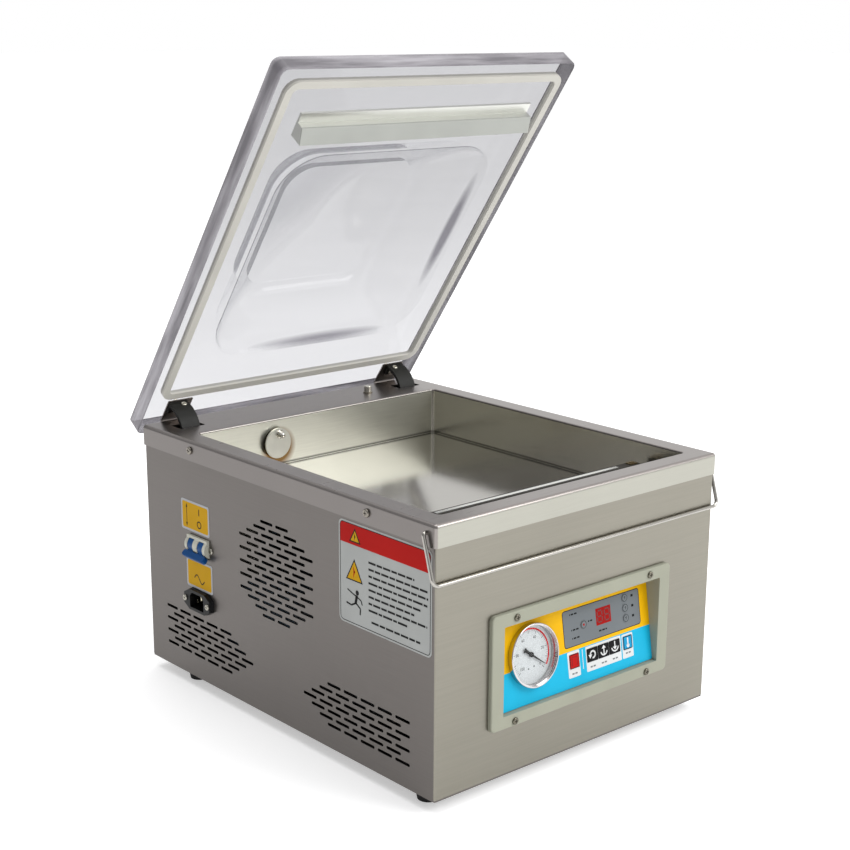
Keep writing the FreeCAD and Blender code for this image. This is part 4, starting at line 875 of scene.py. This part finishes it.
# painted shade: three dark streaks on the dome's curved walls, standing in for refraction there
SHADE_STREAKS = [(lid_point(129.5, -230.0, 20.0), TILT, (0.006, 0.084, 0.006)),
         (lid_point(18.0, -88.5, 19.5), TILT, (0.112, 0.010, 0.0075)),
         (lid_point(-131.0, -236.0, 19.0), TILT, (0.005, 0.112, 0.0025))]
DOME_CLEAR = clear("dome_clear", (0.755, 0.755, 0.765), (0.50, 0.50, 0.52), shade_streaks=SHADE_STREAKS)
LID_EDGE = sawn_edge("lid_edge", (0.17, 0.16, 0.175), (0.42, 0.405, 0.43), TILT)
TOP = LID_UNDER + LID_T
DOME_TALL = DOME_DEEP + DOME_WALL
lip = []
for k in range(LIP_STEPS + 1):
    a = math.radians(90 * k / LIP_STEPS)
    lip.append(dome_loop(0, DOME_LIP * (1 - math.sin(a)), LID_UNDER + DOME_LIP * (1 - math.cos(a))))
levels = [k / DOME_STEPS for k in range(1, DOME_STEPS + 1)]
inner = [dome_loop(t, 0, LID_UNDER + DOME_DEEP * t) for t in levels if DOME_DEEP * t > DOME_LIP + 0.5]
outer = [dome_loop(LID_T / DOME_TALL, DOME_WALL, TOP)]
outer += [dome_loop(t, DOME_WALL, LID_UNDER + DOME_TALL * t) for t in levels if DOME_TALL * t > LID_T]
under_loop = slab_loop(LID_UNDER, EDGE_CHAMFER)
top_loop = slab_loop(TOP, EDGE_CHAMFER)
shell = skin("lid_slab_under", [under_loop, lip[0]], LID_CLEAR, smooth=False)
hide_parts("acrylic_lid")
skin("lid_slab_top", [top_loop, outer[0]], LID_CLEAR, smooth=False)
edge_loops = [under_loop, slab_loop(LID_UNDER + EDGE_CHAMFER), slab_loop(TOP - EDGE_CHAMFER), top_loop]
skin("lid_slab_edge", edge_loops, LID_EDGE, smooth=False)
skin("lid_dome_inner", lip + inner, DOME_CLEAR, cap=True)
skin("lid_dome_outer", outer, LID_CLEAR, cap=True)

# ---- assign finishes ----------------------------------------------------
for node, mat in FINISH.items():
    NODES[node].data.materials.clear()
    NODES[node].data.materials.append(mat)

# ---- studio -------------------------------------------------------------
world = bpy.data.worlds.new("studio")
scene.world = world
world.use_nodes = True
tree = world.node_tree
coord = tree.nodes.new("ShaderNodeTexCoord")
split = tree.nodes.new("ShaderNodeSeparateXYZ")
across = tree.nodes.new("ShaderNodeMapRange")
ramp = tree.nodes.new("ShaderNodeValToRGB")
across.inputs["From Min"].default_value = -1.0
ramp.color_ramp.elements[0].position = 0.30
ramp.color_ramp.elements[0].color = (0.42, 0.42, 0.43, 1)
ramp.color_ramp.elements[1].position = 0.62
ramp.color_ramp.elements[1].color = (1.0, 1.0, 1.0, 1)
tree.links.new(coord.outputs["Generated"], split.inputs["Vector"])
tree.links.new(split.outputs["X"], across.inputs["Value"])
tree.links.new(across.outputs["Result"], ramp.inputs["Fac"])
tree.links.new(ramp.outputs["Color"], tree.nodes["Background"].inputs["Color"])


def lamp(name, at, aim, size, power):
    """A rectangular studio lamp that looks at a point."""
    light = bpy.data.lights.new(name, "AREA")
    light.shape = "RECTANGLE"
    light.size = size[0]
    light.size_y = size[1]
    light.energy = power
    obj = bpy.data.objects.new(name, light)
    scene.collection.objects.link(obj)
    obj.location = at
    obj.rotation_euler = (Vector(aim) - Vector(at)).to_track_quat("-Z", "Y").to_euler()


LAMP_AIM = (0, 0, 0.2)
lamp("key", (1.4, -2.4, 2.2), LAMP_AIM, (2.0, 1.6), 60)
lamp("top", (0.0, 0.3, 3.0), LAMP_AIM, (3.0, 3.0), 50)

floor_mesh = bpy.data.meshes.new("floor")
FLOOR = 30.0
floor_corners = [(-FLOOR, -FLOOR, 0), (FLOOR, -FLOOR, 0), (FLOOR, FLOOR, 0), (-FLOOR, FLOOR, 0)]
floor_mesh.from_pydata(floor_corners, [], [(0, 1, 2, 3)])
floor = bpy.data.objects.new("floor", floor_mesh)
scene.collection.objects.link(floor)
g = Graph("floor_pale")
g.join(g.ramp(g.noise(3, 2), (0.80, 0.80, 0.80), (0.83, 0.83, 0.83)), g.bsdf.inputs["Base Color"])
g.set(Roughness=0.9, Emission_Color=(1, 1, 1, 1), Emission_Strength=0.42, Specular_IOR_Level=0.0)
floor_mesh.materials.append(g.mat)

# ---- camera -------------------------------------------------------------
deck_lo, deck_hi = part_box("deck_cover")
centre = Vector(((deck_lo[0] + deck_hi[0]) / 2, (deck_lo[1] + deck_hi[1]) / 2, 0))
AZIMUTH = math.radians(-40.78)
ELEVATION = math.radians(14.75)
ROLL = math.radians(0.15)
CAMERA_AT = Vector((-1.04693, -1.19687, 0.67560))     # from the deck's centre at floor height
back_dir = Vector((math.sin(AZIMUTH) * math.cos(ELEVATION), -math.cos(AZIMUTH) * math.cos(ELEVATION),
                   math.sin(ELEVATION)))
right_dir = Vector((math.cos(AZIMUTH), math.sin(AZIMUTH), 0))
up_dir = back_dir.cross(right_dir)
right_r = right_dir * math.cos(ROLL) + up_dir * math.sin(ROLL)
up_r = up_dir * math.cos(ROLL) - right_dir * math.sin(ROLL)
camera_data = bpy.data.cameras.new("camera")
camera_data.lens = 68.99
camera_data.sensor_width = 36.0
camera_data.shift_x = 0.0185
camera_data.shift_y = 0.0279
camera = bpy.data.objects.new("camera", camera_data)
scene.collection.objects.link(camera)
basis = Matrix((right_r, up_r, back_dir)).transposed().to_4x4()
camera.matrix_world = Matrix.Translation(centre + CAMERA_AT) @ basis
scene.camera = camera
scene.view_settings.view_transform = "Standard"
